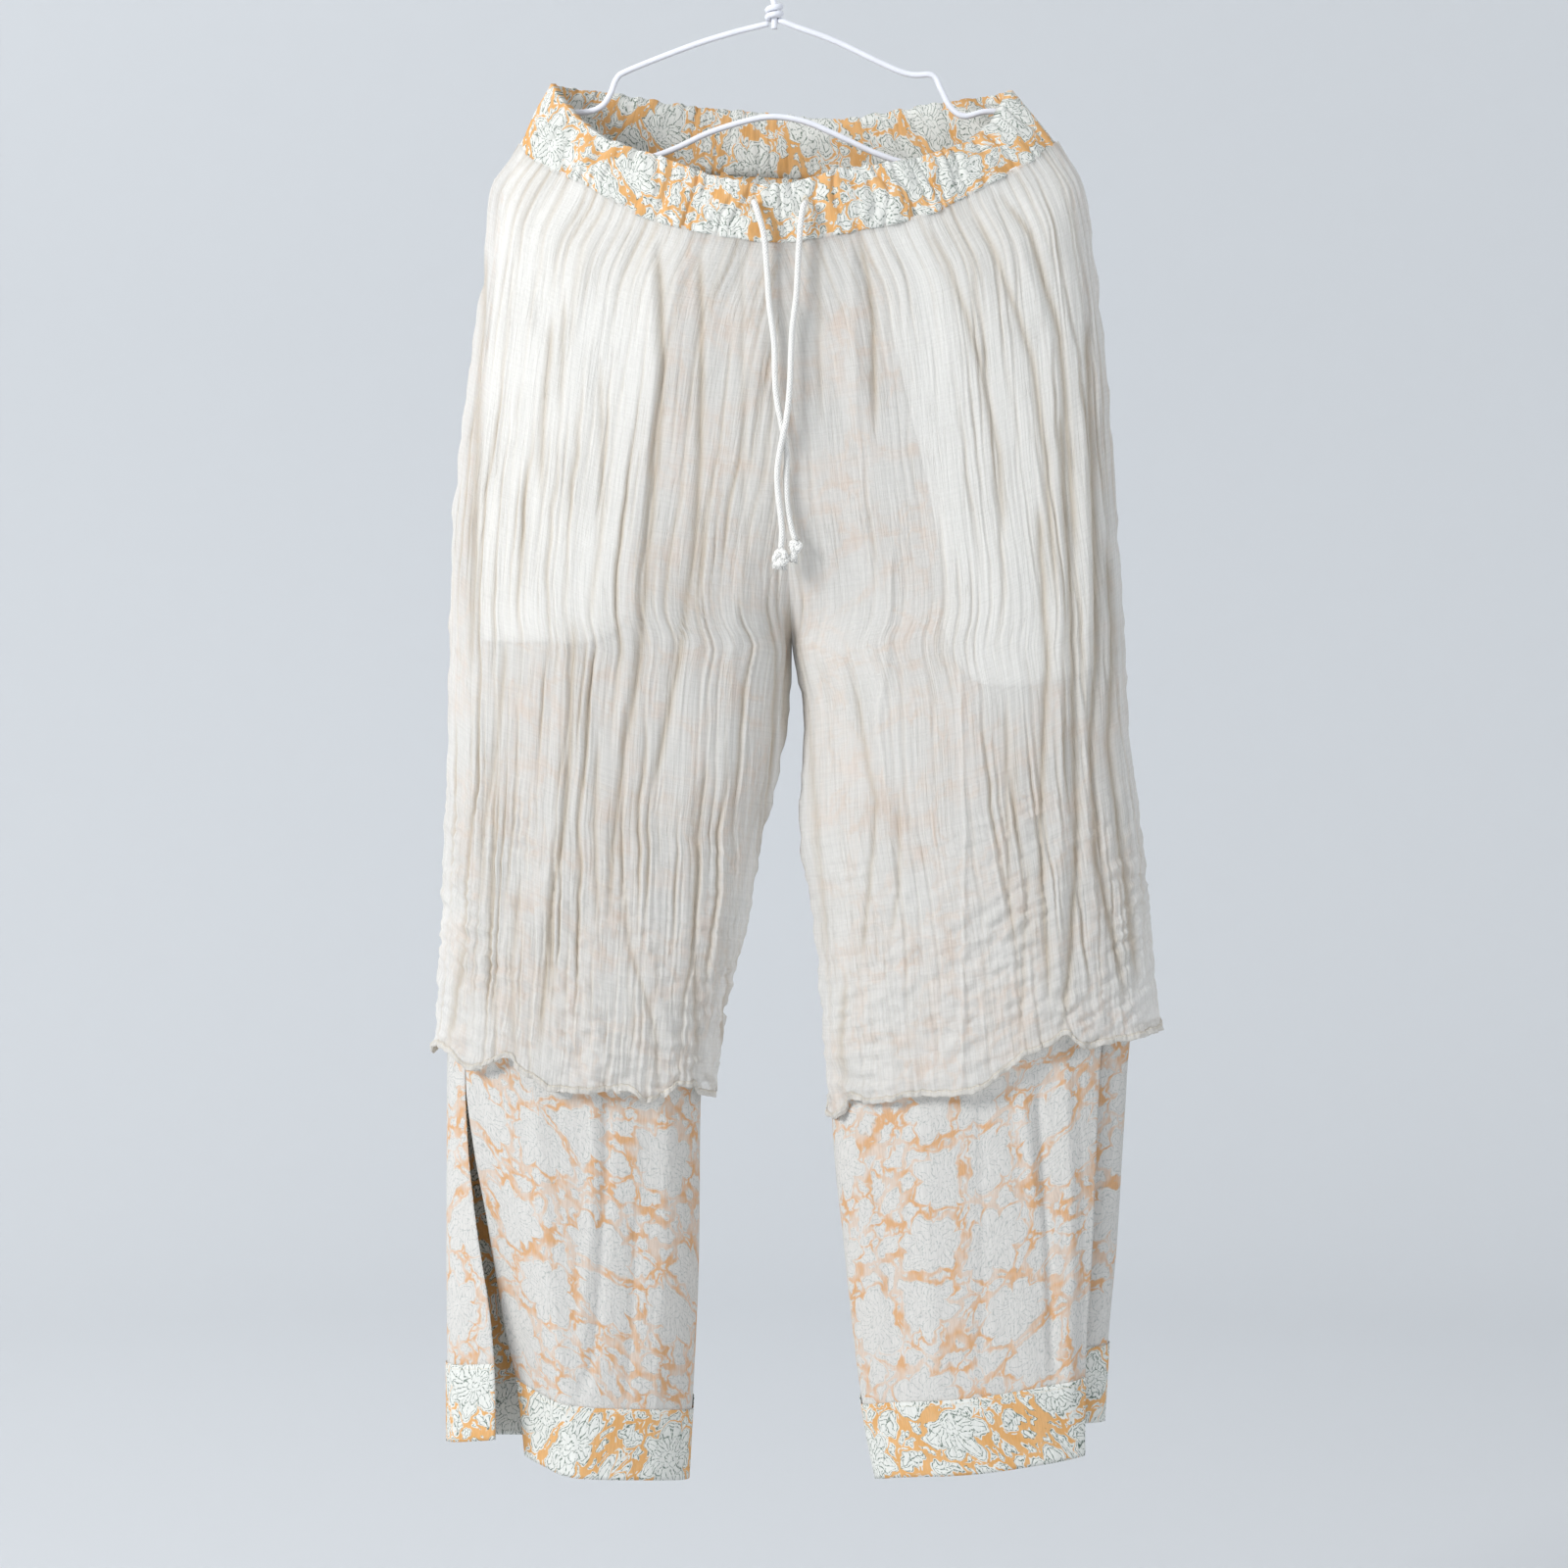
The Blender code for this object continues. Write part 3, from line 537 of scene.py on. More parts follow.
def link(made: Object) -> Object:
    """Puts an object in the scene."""
    bpy.context.scene.collection.objects.link(made)
    return made


def thicken(piece: Object, wall: float, lining: bool = False) -> None:
    """Gives a sheet its wall, grown inwards.

    Args:
        piece: the sheet.
        wall: thickness in millimetres.
        lining: whether the inner side and the rim take the second material.
    """
    solidify = piece.modifiers.new("wall", "SOLIDIFY")
    solidify.thickness = wall * MM
    solidify.offset = -1
    if lining:
        solidify.material_offset = 1
        solidify.material_offset_rim = 1


def tube(name: str, path: np.ndarray, radius: Callable[[float], float], sides: int) -> Object:
    """A round tube along a path, with closed ends.

    Args:
        name: name of the piece.
        path: points of its centre line, in millimetres.
        radius: radius in millimetres at a share of the length.
        sides: faces round it.

    Returns:
        The piece, with its flat map: round it, and along it.
    """
    steps = np.diff(path, axis=0)
    tangents = np.vstack([steps[:1], steps[:-1] + steps[1:], steps[-1:]])
    tangents /= np.linalg.norm(tangents, axis=1, keepdims=True)
    lengths = np.concatenate([[0], np.cumsum(np.linalg.norm(steps, axis=1))])
    aside = np.cross(tangents[0], (0.31, 0.95, 0.02))
    points = np.empty((len(path), sides + 1, 3))
    for i, (at, tangent) in enumerate(zip(path, tangents)):
        aside = aside - tangent * np.dot(aside, tangent)
        aside /= np.linalg.norm(aside)
        turned = np.cross(tangent, aside)
        reach = radius(lengths[i] / lengths[-1])
        for k in range(sides + 1):
            angle = 2 * math.pi * k / sides
            points[i, k] = at + reach * (math.cos(angle) * aside + math.sin(angle) * turned)
    tubular = bmesh.new()
    bmesh.ops.create_grid(tubular, x_segments=sides, y_segments=len(path) - 1, size=1)
    tubular.verts.ensure_lookup_table()
    layer = tubular.loops.layers.uv.new("cloth")
    for vertex, point in zip(tubular.verts, points.reshape(-1, 3)):
        vertex.co = Vector(point) * MM
    round_mm = 2 * math.pi * radius(0.5)
    for surface in tubular.faces:
        for corner in surface.loops:
            row, column = divmod(corner.vert.index, sides + 1)
            corner[layer].uv = (column / sides * round_mm * MM, lengths[row] * MM)
    bmesh.ops.remove_doubles(tubular, verts=tubular.verts, dist=1e-6)
    bmesh.ops.holes_fill(tubular, edges=tubular.edges, sides=sides)
    bmesh.ops.recalc_face_normals(tubular, faces=tubular.faces)
    mesh = bpy.data.meshes.new(name)
    tubular.to_mesh(mesh)
    tubular.free()
    mesh.shade_smooth()
    return link(bpy.data.objects.new(name, mesh))


def joined(made: Sequence[Object], name: str) -> Object:
    """Joins plain mesh objects into the first, under a new name."""
    whole = bmesh.new()
    for part in made:
        whole.from_mesh(part.data)
    kept, *others = made
    whole.to_mesh(kept.data)
    whole.free()
    for other in others:
        bpy.data.objects.remove(other)
    kept.name = kept.data.name = name
    return kept


def stitches(name: str, places: np.ndarray, runs: np.ndarray, length: float, thick: float) -> Object:
    """Separate short stitches of thread.

    Args:
        name: name of the piece.
        places: middle of each stitch, in millimetres.
        runs: direction of each stitch.
        length: length of a stitch, in millimetres.
        thick: thickness of the thread, in millimetres.

    Returns:
        The piece.
    """
    sewing = bmesh.new()
    size = Matrix.Diagonal((thick / 2 * MM, thick / 2 * MM, length / 2 * MM, 1.0))
    for place, run in zip(places, runs):
        turn = Vector(run).to_track_quat("Z", "Y").to_matrix().to_4x4()
        lie = Matrix.Translation(Vector(place) * MM) @ turn @ size
        bmesh.ops.create_uvsphere(sewing, u_segments=6, v_segments=4, radius=1.0, matrix=lie)
    mesh = bpy.data.meshes.new(name)
    sewing.to_mesh(mesh)
    sewing.free()
    mesh.shade_smooth()
    return link(bpy.data.objects.new(name, mesh))


def stitch_line(name: str, line: np.ndarray, length: float) -> Object:
    """A row of stitches along a line of points."""
    pitch, thick, reach = 2.9, 0.45, 0.6
    steps = np.diff(line, axis=0)
    lengths = np.concatenate([[0], np.cumsum(np.linalg.norm(steps, axis=1))])
    at = np.arange(pitch / 2, lengths[-1], pitch)
    before, after = (
        np.stack([np.interp(at + shift, lengths, line[:, k]) for k in range(3)], axis=1)
        for shift in (-reach, reach)
    )
    return stitches(name, (before + after) / 2, after - before, length, thick)


def linear(hex_colour: str) -> tuple[float, float, float, float]:
    """Linear colour of an sRGB hex value."""
    channels = (int(hex_colour[i : i + 2], 16) / 255 for i in (1, 3, 5))
    return (*(c / 12.92 if c <= 0.04045 else ((c + 0.055) / 1.055) ** 2.4 for c in channels), 1.0)


def add(
    tree: NodeTree,
    kind: str,
    *inputs: object,
    at: Mapping[str | int, object] | None = None,
    out: str | int = 0,
    **settings: object,
) -> NodeSocket:
    """Adds one node, and gives the output that is asked for.

    Args:
        tree: the material's node tree.
        kind: the node's Blender type, without ShaderNode.
        inputs: what feeds its first sockets in order: an output, or a value.
        at: the same for other sockets, by name or number.
        out: name or number of the output to give.
        settings: the node's own properties.

    Returns:
        The output.
    """
    node = tree.nodes.new("ShaderNode" + kind)
    for setting, value in settings.items():
        setattr(node, setting, value)
    for socket, value in (*enumerate(inputs), *(at or {}).items()):
        if isinstance(value, NodeSocket):
            tree.links.new(value, node.inputs[socket])
        else:
            node.inputs[socket].default_value = value
    return node.outputs[out]


def blank(name: str) -> Material:
    """A material with an empty tree."""
    material = bpy.data.materials.new(name)
    material.use_nodes = True
    material.node_tree.nodes.clear()
    return material


def cloth_point(tree: NodeTree) -> NodeSocket:
    """Place on the flat cloth, in millimetres."""
    flat = add(tree, "UVMap", uv_map="cloth", out="UV")
    return add(tree, "VectorMath", flat, (1000.0, 1000.0, 0.0), operation="MULTIPLY")


def streaks(tree: NodeTree, point: NodeSocket, across: float, down: float, detail: float = 2.0) -> NodeSocket:
    """Noise drawn out along the cloth.

    Args:
        tree: the material's node tree.
        point: place on the cloth, in millimetres.
        across: size of the noise across, in millimetres.
        down: size of the noise down the cloth, in millimetres.
        detail: how many finer noises it holds.

    Returns:
        Values around 0.5.
    """
    scaled = add(tree, "VectorMath", point, (1 / across, 1 / down, 0.0), operation="MULTIPLY")
    return add(
        tree, "TexNoise", scaled, at={"Scale": 1.0, "Detail": detail, "Roughness": 0.55}, noise_dimensions="2D"
    )


@dataclass(frozen=True)
class PaintedWall:
    """Matt emulsion paint, rolled on: an even pale surface with no gloss."""

    name: str = "painted_studio_wall"
    colour: str = "#D6D9DC"

    def make(self) -> Material:
        """The material."""
        material = blank(self.name)
        tree = material.node_tree
        shader = add(tree, "BsdfPrincipled", at={"Base Color": linear(self.colour), "Roughness": 0.95})
        add_output(tree, shader)
        return material


def add_output(tree: NodeTree, shader: NodeSocket) -> None:
    """Ends a tree with its output."""
    output = tree.nodes.new("ShaderNodeOutputMaterial")
    tree.links.new(shader, output.inputs["Surface"])


@dataclass(frozen=True)
class Motif:
    """Printed motifs of one size, one to a cell: where each point lies in its own motif."""

    pitch: float
    gap: float
    spread: float = 0.85

    def local(self, tree: NodeTree, point: NodeSocket) -> tuple[NodeSocket, NodeSocket]:
        """Finds the motif of each point.

        Args:
            tree: the material's node tree.
            point: place on the cloth, in millimetres.

        Returns:
            Place in the motif's own turned axes, and distance inside the motif's cell.
        """
        cells = {"Scale": 1 / self.pitch, "Randomness": self.spread}
        centre = add(tree, "TexVoronoi", point, at=cells, out="Position", voronoi_dimensions="2D")
        edge = add(
            tree, "TexVoronoi", point, at=cells, out="Distance",
            voronoi_dimensions="2D", feature="DISTANCE_TO_EDGE",
        )
        inside = add(tree, "Math", edge, self.pitch, -self.gap, operation="MULTIPLY_ADD")
        offset = add(tree, "VectorMath", point, centre, operation="SUBTRACT")
        chance = add(tree, "SeparateColor", centre.node.outputs["Color"])
        angle = add(tree, "Math", chance, 2 * math.pi, operation="MULTIPLY")
        turned = add(tree, "VectorRotate", offset, at={"Angle": angle}, rotation_type="Z_AXIS")
        return turned, inside


@dataclass(frozen=True)
class Flower(Motif):
    """Round flower with rings of petals."""

    petals: int = 8
    reach: float = 24.0
    notch: float = 0.22
    rings: Sequence[float] = (0.62, 0.3)
    stripes: bool = True

    def rim(self, tree: NodeTree, angle: NodeSocket, share: float, turn: str) -> NodeSocket:
        """Radius of a ring of petals at each angle.

        Args:
            tree: the material's node tree.
            angle: angle round the flower.
            share: the ring's share of the flower's reach.
            turn: SINE or COSINE, which set the petals of two rings between each other.

        Returns:
            The radius, in millimetres.
        """
        wave = add(tree, "Math", angle, self.petals / 2, operation="MULTIPLY")
        lobes = add(tree, "Math", add(tree, "Math", wave, operation=turn), operation="ABSOLUTE")
        full = add(tree, "Math", lobes, 0.65, operation="POWER")
        reach = self.reach * share
        return add(tree, "Math", full, reach * self.notch, reach * (1 - self.notch), operation="MULTIPLY_ADD")

    def draw(self, tree: NodeTree, point: NodeSocket) -> tuple[NodeSocket, NodeSocket]:
        """Draws the flowers.

        Args:
            tree: the material's node tree.
            point: place on the cloth, in millimetres.

        Returns:
            Distance inside the flower, and distance from its drawn lines.
        """
        local, inside = self.local(tree, point)
        x = add(tree, "SeparateXYZ", local)
        angle = add(tree, "Math", x.node.outputs[1], x, operation="ARCTAN2")
        radius = add(tree, "VectorMath", local, operation="LENGTH", out="Value")
        depth = add(tree, "Math", self.rim(tree, angle, 1.0, "COSINE"), radius, operation="SUBTRACT")
        depth = add(tree, "Math", depth, inside, operation="MINIMUM")
        lines = add(tree, "Math", add(tree, "Math", depth, 0.7, operation="SUBTRACT"), operation="ABSOLUTE")
        if self.stripes:
            inner = add(tree, "Math", add(tree, "Math", depth, 3.0, operation="SUBTRACT"), operation="ABSOLUTE")
            lines = add(tree, "Math", lines, inner, operation="MINIMUM")
        for number, share in enumerate(self.rings):
            rim = self.rim(tree, angle, share, "SINE" if number % 2 == 0 else "COSINE")
            ring = add(tree, "Math", add(tree, "Math", rim, radius, operation="SUBTRACT"), operation="ABSOLUTE")
            lines = add(tree, "Math", lines, ring, operation="MINIMUM")
        if self.stripes:
            fan = add(tree, "Math", angle, float(self.petals) * 1.5, operation="MULTIPLY")
            fan = add(tree, "Math", add(tree, "Math", fan, operation="SINE"), operation="ABSOLUTE")
            fan = add(tree, "Math", fan, radius, operation="MULTIPLY")
            fan = add(tree, "Math", fan, 1 / (self.petals * 1.5), operation="MULTIPLY")
            far = add(tree, "Math", depth, 3.4, operation="LESS_THAN")
            near = add(tree, "Math", radius, self.reach * 0.3, operation="LESS_THAN")
            hidden = add(tree, "Math", far, near, operation="ADD")
            fan = add(tree, "Math", hidden, 9.0, fan, operation="MULTIPLY_ADD")
            lines = add(tree, "Math", lines, fan, operation="MINIMUM")
        return depth, lines


@dataclass(frozen=True)
class Leaf(Motif):
    """Pointed leaf with a midrib and side veins."""

    length: float = 12.0
    width: float = 5.6
    vein_pitch: float = 3.6

    def draw(self, tree: NodeTree, point: NodeSocket) -> tuple[NodeSocket, NodeSocket]:
        """Draws the leaves.

        Args:
            tree: the material's node tree.
            point: place on the cloth, in millimetres.

        Returns:
            Distance inside the leaf, and distance from its drawn lines.
        """
        local, inside = self.local(tree, point)
        x = add(tree, "SeparateXYZ", local)
        aside = add(tree, "Math", x.node.outputs[1], operation="ABSOLUTE")
        along = add(tree, "Math", x, 1 / self.length, operation="MULTIPLY")
        taper = add(tree, "Math", along, along, operation="MULTIPLY")
        lobes = add(tree, "Math", add(tree, "Math", x, 1.15, operation="MULTIPLY"), operation="SINE")
        half = add(tree, "Math", taper, -self.width, self.width, operation="MULTIPLY_ADD")
        half = add(tree, "Math", lobes, 0.55, half, operation="MULTIPLY_ADD")
        depth = add(tree, "Math", half, aside, operation="SUBTRACT")
        depth = add(tree, "Math", depth, inside, operation="MINIMUM")
        outline = add(tree, "Math", depth, 0.6, operation="SUBTRACT")
        lines = add(tree, "Math", outline, operation="ABSOLUTE")
        lines = add(tree, "Math", lines, aside, operation="MINIMUM")
        slant = add(tree, "Math", aside, 0.8, x, operation="MULTIPLY_ADD")
        slant = add(tree, "Math", slant, math.pi / self.vein_pitch, operation="MULTIPLY")
        vein = add(tree, "Math", add(tree, "Math", slant, operation="SINE"), operation="ABSOLUTE")
        vein = add(tree, "Math", vein, self.vein_pitch / math.pi, operation="MULTIPLY")
        rim = add(tree, "Math", depth, 1.5, operation="LESS_THAN")
        vein = add(tree, "Math", rim, 9.0, vein, operation="MULTIPLY_ADD")
        return depth, add(tree, "Math", lines, vein, operation="MINIMUM")


@dataclass(frozen=True)
class BlockFloral:
    """Block-printed floral: big flowers first, leaves between them, florets in the rest."""

    flowers: Flower = Flower(pitch=54.0, gap=3.6, petals=7, reach=23.5, notch=0.36, rings=(0.64, 0.3, 0.13))
    leaves: Leaf = Leaf(pitch=21.0, gap=2.0, length=12.5, width=5.6)
    florets: Flower = Flower(
        pitch=10.0, gap=1.1, petals=5, reach=4.7, notch=0.36, rings=(0.36,), stripes=False
    )
    ground: float = 2.5
    dot_pitch: float = 2.4
    wobble: float = 12.0
    ragged: float = 2.2
    uneven: float = 3.2

    def draw(self, tree: NodeTree) -> tuple[NodeSocket, NodeSocket]:
        """Draws the pattern.

        Returns:
            Distance inside the nearest motif, and the drawn lines from 0 to 1.
        """
        point = cloth_point(tree)
        bend = add(
            tree, "TexNoise", point, at={"Scale": 1 / 15, "Detail": 2.0, "Roughness": 0.5}, out="Color",
            noise_dimensions="2D",
        )
        bend = add(tree, "VectorMath", bend, (0.5, 0.5, 0.5), operation="SUBTRACT")
        bend = add(tree, "VectorMath", bend, (self.wobble, self.wobble, 0.0), operation="MULTIPLY")
        point = add(tree, "VectorMath", point, bend, operation="ADD")
        depths, marks = [], []
        for motif in (self.flowers, self.leaves, self.florets):
            depth, lines = motif.draw(tree, point)
            for taken in depths:
                clear = add(tree, "Math", taken, -1.0, -self.ground, operation="MULTIPLY_ADD")
                depth = add(tree, "Math", depth, clear, operation="MINIMUM")
            mark = add(tree, "MapRange", lines, 0.13, 0.46, 1.0, 0.0)
            inked = add(tree, "Math", depth, 0.15, operation="GREATER_THAN")
            marks.append(add(tree, "Math", mark, inked, operation="MULTIPLY"))
            depths.append(depth)
        depth, mark = depths[0], marks[0]
        for other, ink in zip(depths[1:], marks[1:]):
            depth = add(tree, "Math", depth, other, operation="MAXIMUM")
            mark = add(tree, "Math", mark, ink, operation="MAXIMUM")
        for size, amount in ((3.2, self.ragged), (24.0, self.uneven)):
            noise = streaks(tree, point, size, size, 1.0)
            noise = add(tree, "Math", noise, 0.5, operation="SUBTRACT")
            depth = add(tree, "Math", noise, amount, depth, operation="MULTIPLY_ADD")
        cells = {"Scale": 1 / self.dot_pitch, "Randomness": 0.7}
        dots = add(tree, "TexVoronoi", point, at=cells, out="Distance", voronoi_dimensions="2D")
        dots = add(tree, "MapRange", dots, 0.13, 0.2, 1.0, 0.0)
        where = add(tree, "MapRange", streaks(tree, point, 11.0, 11.0, 1.0), 0.63, 0.66, 0.0, 1.0)
        dots = add(tree, "Math", dots, where, operation="MULTIPLY")
        dots = add(tree, "Math", dots, add(tree, "Math", depth, 1.2, operation="GREATER_THAN"), operation="MULTIPLY")
        return depth, add(tree, "Math", mark, dots, operation="MAXIMUM")


@dataclass(frozen=True)
class PrintedCotton:
    """Plain-woven cotton, block printed in ochre round white motifs with dark green lines.

    The face has flat crisp ink. On the wrong side the ink only partly comes through, so
    the ground is a soft broken orange and the lines are faint grey-green specks.
    """

    name: str
    face: bool
    motif: str = "#EDEEE9"
    ochre: str = "#E2A75E"
    pale_ochre: str = "#EEC28E"
    outline: str = "#3C5C49"
    base: str = "#DFDDD9"
    through: str = "#DFAF80"
    speck: str = "#8B9795"

    def make(self) -> Material:
        """The material."""
        material = blank(self.name)
        tree = material.node_tree
        depth, mark = BlockFloral().draw(tree)
        point = cloth_point(tree)
        patchy = streaks(tree, point, 16.0, 16.0, 2.0)
        worn = streaks(tree, point, 1.4, 1.8, 1.0)
        if self.face:
            white = add(tree, "MapRange", depth, -0.65, -0.05, 0.0, 1.0, interpolation_type="SMOOTHSTEP")
            inks = {0: patchy, 6: linear(self.ochre), 7: linear(self.pale_ochre)}
            ochre = add(tree, "Mix", at=inks, out=2, data_type="RGBA")
            colour = add(tree, "Mix", at={0: white, 6: ochre, 7: linear(self.motif)}, out=2, data_type="RGBA")
            ink = add(tree, "MapRange", worn, 0.36, 0.56, 0.14, 0.9)
        else:
            white = add(tree, "MapRange", depth, -1.1, 0.7, 0.0, 1.0, interpolation_type="SMOOTHSTEP")
            strength = add(tree, "MapRange", patchy, 0.4, 0.62, 0.35, 0.95)
            ground = add(tree, "Math", 1.0, white, operation="SUBTRACT")
            ground = add(tree, "Math", ground, strength, operation="MULTIPLY")
            inks = {0: ground, 6: linear(self.base), 7: linear(self.through)}
            colour = add(tree, "Mix", at=inks, out=2, data_type="RGBA")
            ink = add(tree, "MapRange", worn, 0.4, 0.62, 0.06, 0.46)
        mark = add(tree, "Math", mark, ink, operation="MULTIPLY")
        line = linear(self.outline if self.face else self.speck)
        colour = add(tree, "Mix", at={0: mark, 6: colour, 7: line}, out=2, data_type="RGBA")
        crepe = streaks(tree, point, 1.1, 7.0, 1.0)
        shade = add(tree, "MapRange", crepe, 0.3, 0.7, 0.93, 1.03)
        colour = add(tree, "VectorMath", colour, shade, operation="MULTIPLY")
        rumple = streaks(tree, point, 4.0, 22.0, 1.0)
        relief = add(tree, "Math", crepe, 0.35, rumple, operation="MULTIPLY_ADD")
        normal = add(tree, "Bump", at={"Height": relief, "Strength": 0.55, "Distance": 0.0008})
        matt = {"Base Color": colour, "Roughness": 0.9, "Normal": normal, "Specular IOR Level": 0.25}
        shader = add(tree, "BsdfPrincipled", at=matt)
        glow = add(tree, "BsdfTranslucent", colour)
        add_output(tree, add(tree, "MixShader", 0.16, shader, glow))
        return material


@dataclass(frozen=True)
class CrinkleGauze:
    """Open plain-woven cotton, wet-twisted into a crinkle: creamy, matt and half sheer.

    Creases hold more cloth, so they are less sheer than the flats, and their colour is painted darker and warmer as
    the shade in them.
    """

    name: str = "crinkle_gauze"
    thread: str = "#F6F5F2"
    # Painted shade: the darker warm colour that creases and ply grooves are drawn in
    crease_shade: str = "#BEAF98"
    sheer: float = 0.30

    def make(self) -> Material:
        """The material."""
        material = blank(self.name)
        tree = material.node_tree
        point = cloth_point(tree)
        # Crease depth from the mesh: it darkens the colour as painted shade and makes the weave less sheer
        crease = add(tree, "Attribute", attribute_name="crease", out="Fac")
        warp = streaks(tree, point, 1.3, 45.0, 1.0)
        weft = streaks(tree, point, 30.0, 1.6, 1.0)
        threads = add(tree, "Math", weft, 0.5, warp, operation="MULTIPLY_ADD")
        thin = add(tree, "MapRange", threads, 0.5, 1.0, -0.08, 0.08)
        ply = streaks(tree, point, 2.7, 95.0, 1.0)
        ply = add(tree, "Math", add(tree, "Math", ply, 0.5, operation="SUBTRACT"), operation="ABSOLUTE")
        ply = add(tree, "MapRange", ply, 0.0, 0.035, 1.0, 0.0)
        patch = streaks(tree, point, 14.0, 60.0, 0.0)
        ply = add(tree, "Math", ply, add(tree, "MapRange", patch, 0.38, 0.56, 0.0, 1.0), operation="MULTIPLY")
        # Painted shade: the colour darkens in the creases and along the fine ply grooves
        deep = add(tree, "MapRange", crease, 0.08, 1.0, 0.0, 0.66)
        deep = add(tree, "Math", ply, 0.12, deep, operation="MULTIPLY_ADD")
        thread_and_crease_shade = {0: deep, 6: linear(self.thread), 7: linear(self.crease_shade)}
        colour = add(tree, "Mix", at=thread_and_crease_shade, out=2, data_type="RGBA")
        shade = add(tree, "MapRange", threads, 0.5, 1.0, 0.95, 1.03)
        colour = add(tree, "VectorMath", colour, shade, operation="MULTIPLY")
        relief = add(tree, "Math", weft, 0.7, warp, operation="MULTIPLY_ADD")
        relief = add(tree, "Math", ply, -0.7, relief, operation="MULTIPLY_ADD")
        normal = add(tree, "Bump", at={"Height": relief, "Strength": 0.6, "Distance": 0.0007})
        matt = {"Base Color": colour, "Roughness": 0.95, "Normal": normal, "Specular IOR Level": 0.2}
        shader = add(tree, "BsdfPrincipled", at=matt)
        glow = add(tree, "BsdfTranslucent", colour, at={"Normal": normal})
        cloth = add(tree, "MixShader", 0.35, shader, glow)
        open_weave = add(tree, "Math", crease, -0.24, self.sheer, operation="MULTIPLY_ADD")
        open_weave = add(tree, "Math", open_weave, thin, operation="ADD", use_clamp=True)
        clear = add(tree, "BsdfTransparent")
        add_output(tree, add(tree, "MixShader", open_weave, cloth, clear))
        return material


@dataclass(frozen=True)
class PocketCotton:
    """Bleached plain-woven cotton lawn: smooth, white and matt."""

    name: str = "pocket_cotton"
    colour: str = "#EEEDEA"

    def make(self) -> Material:
        """The material."""
        material = blank(self.name)
        tree = material.node_tree
        point = cloth_point(tree)
        weave = streaks(tree, point, 1.2, 5.0, 1.0)
        shade = add(tree, "MapRange", weave, 0.3, 0.7, 0.96, 1.02)
        colour = add(tree, "VectorMath", linear(self.colour)[:3], shade, operation="MULTIPLY")
        normal = add(tree, "Bump", at={"Height": weave, "Strength": 0.4, "Distance": 0.0005})
        shader = add(tree, "BsdfPrincipled", at={"Base Color": colour, "Roughness": 0.9, "Normal": normal})
        add_output(tree, shader)
        return material


@dataclass(frozen=True)
class BraidedCord:
    """Round braided cotton cord: soft white strands that cross in a fine chevron."""

    name: str = "cotton_cord"
    colour: str = "#FBFAF6"
    strand: float = 2.1

    def make(self) -> Material:
        """The material. The braid is drawn about twice as coarse as a real one, so it shows."""
        material = blank(self.name)
        tree = material.node_tree
        x = add(tree, "SeparateXYZ", cloth_point(tree))
        y = x.node.outputs[1]
        crossings = []
        for lean in (1.0, -1.0):
            slant = add(tree, "Math", x, lean, y, operation="MULTIPLY_ADD")
            wave = add(tree, "Math", slant, 2 * math.pi / self.strand, operation="MULTIPLY")
            crossings.append(add(tree, "Math", wave, operation="SINE"))
        braid = add(tree, "Math", *crossings, operation="MAXIMUM")
        shade = add(tree, "MapRange", braid, -0.8, 0.9, 0.80, 1.0)
        colour = add(tree, "VectorMath", linear(self.colour)[:3], shade, operation="MULTIPLY")
        normal = add(tree, "Bump", at={"Height": braid, "Strength": 0.7, "Distance": 0.0005})
        shader = add(tree, "BsdfPrincipled", at={"Base Color": colour, "Roughness": 0.85, "Normal": normal})
        add_output(tree, shader)
        return material


@dataclass(frozen=True)
class SewingThread:
    """Spun cotton sewing thread, ecru and matt, with a fine twist."""

    name: str = "sewing_thread"
    colour: str = "#E9E2D2"

    def make(self) -> Material:
        """The material."""
        material = blank(self.name)
        tree = material.node_tree
        point = add(tree, "TexCoord", out="Object")
        twist = add(tree, "TexWave", point, at={"Scale": 900.0, "Distortion": 1.0}, out="Fac")
        shade = add(tree, "MapRange", twist, 0.0, 1.0, 0.86, 1.0)
        colour = add(tree, "VectorMath", linear(self.colour)[:3], shade, operation="MULTIPLY")
        normal = add(tree, "Bump", at={"Height": twist, "Strength": 0.4, "Distance": 0.0001})
        shader = add(tree, "BsdfPrincipled", at={"Base Color": colour, "Roughness": 0.85, "Normal": normal})
        add_output(tree, shader)
        return material


@dataclass(frozen=True)
class CoatedWire:
    """Steel wire dipped in soft PVC: white with a blue cast, satin, faintly wavy."""

    name: str = "coated_wire"
    colour: str = "#EDEFF7"

    def make(self) -> Material:
        """The material."""
        material = blank(self.name)
        tree = material.node_tree
        point = add(tree, "TexCoord", out="Object")
        waves = add(tree, "TexNoise", point, at={"Scale": 90.0, "Detail": 2.0})
        shade = add(tree, "MapRange", waves, 0.3, 0.7, 0.95, 1.0)
        colour = add(tree, "VectorMath", linear(self.colour)[:3], shade, operation="MULTIPLY")
        gloss = add(tree, "MapRange", waves, 0.3, 0.7, 0.30, 0.42)
        normal = add(tree, "Bump", at={"Height": waves, "Strength": 0.2, "Distance": 0.0005})
        satin = {"Base Color": colour, "Roughness": gloss, "Normal": normal, "IOR": 1.53}
        shader = add(tree, "BsdfPrincipled", at=satin)
        add_output(tree, shader)
        return material


@dataclass
class Wardrobe:
    """Every finish of the garment and its hanger."""

    gauze: Material
    wrong_side: Material
    face: Material
    pocket: Material
    cord: Material
    thread: Material
    wire: Material


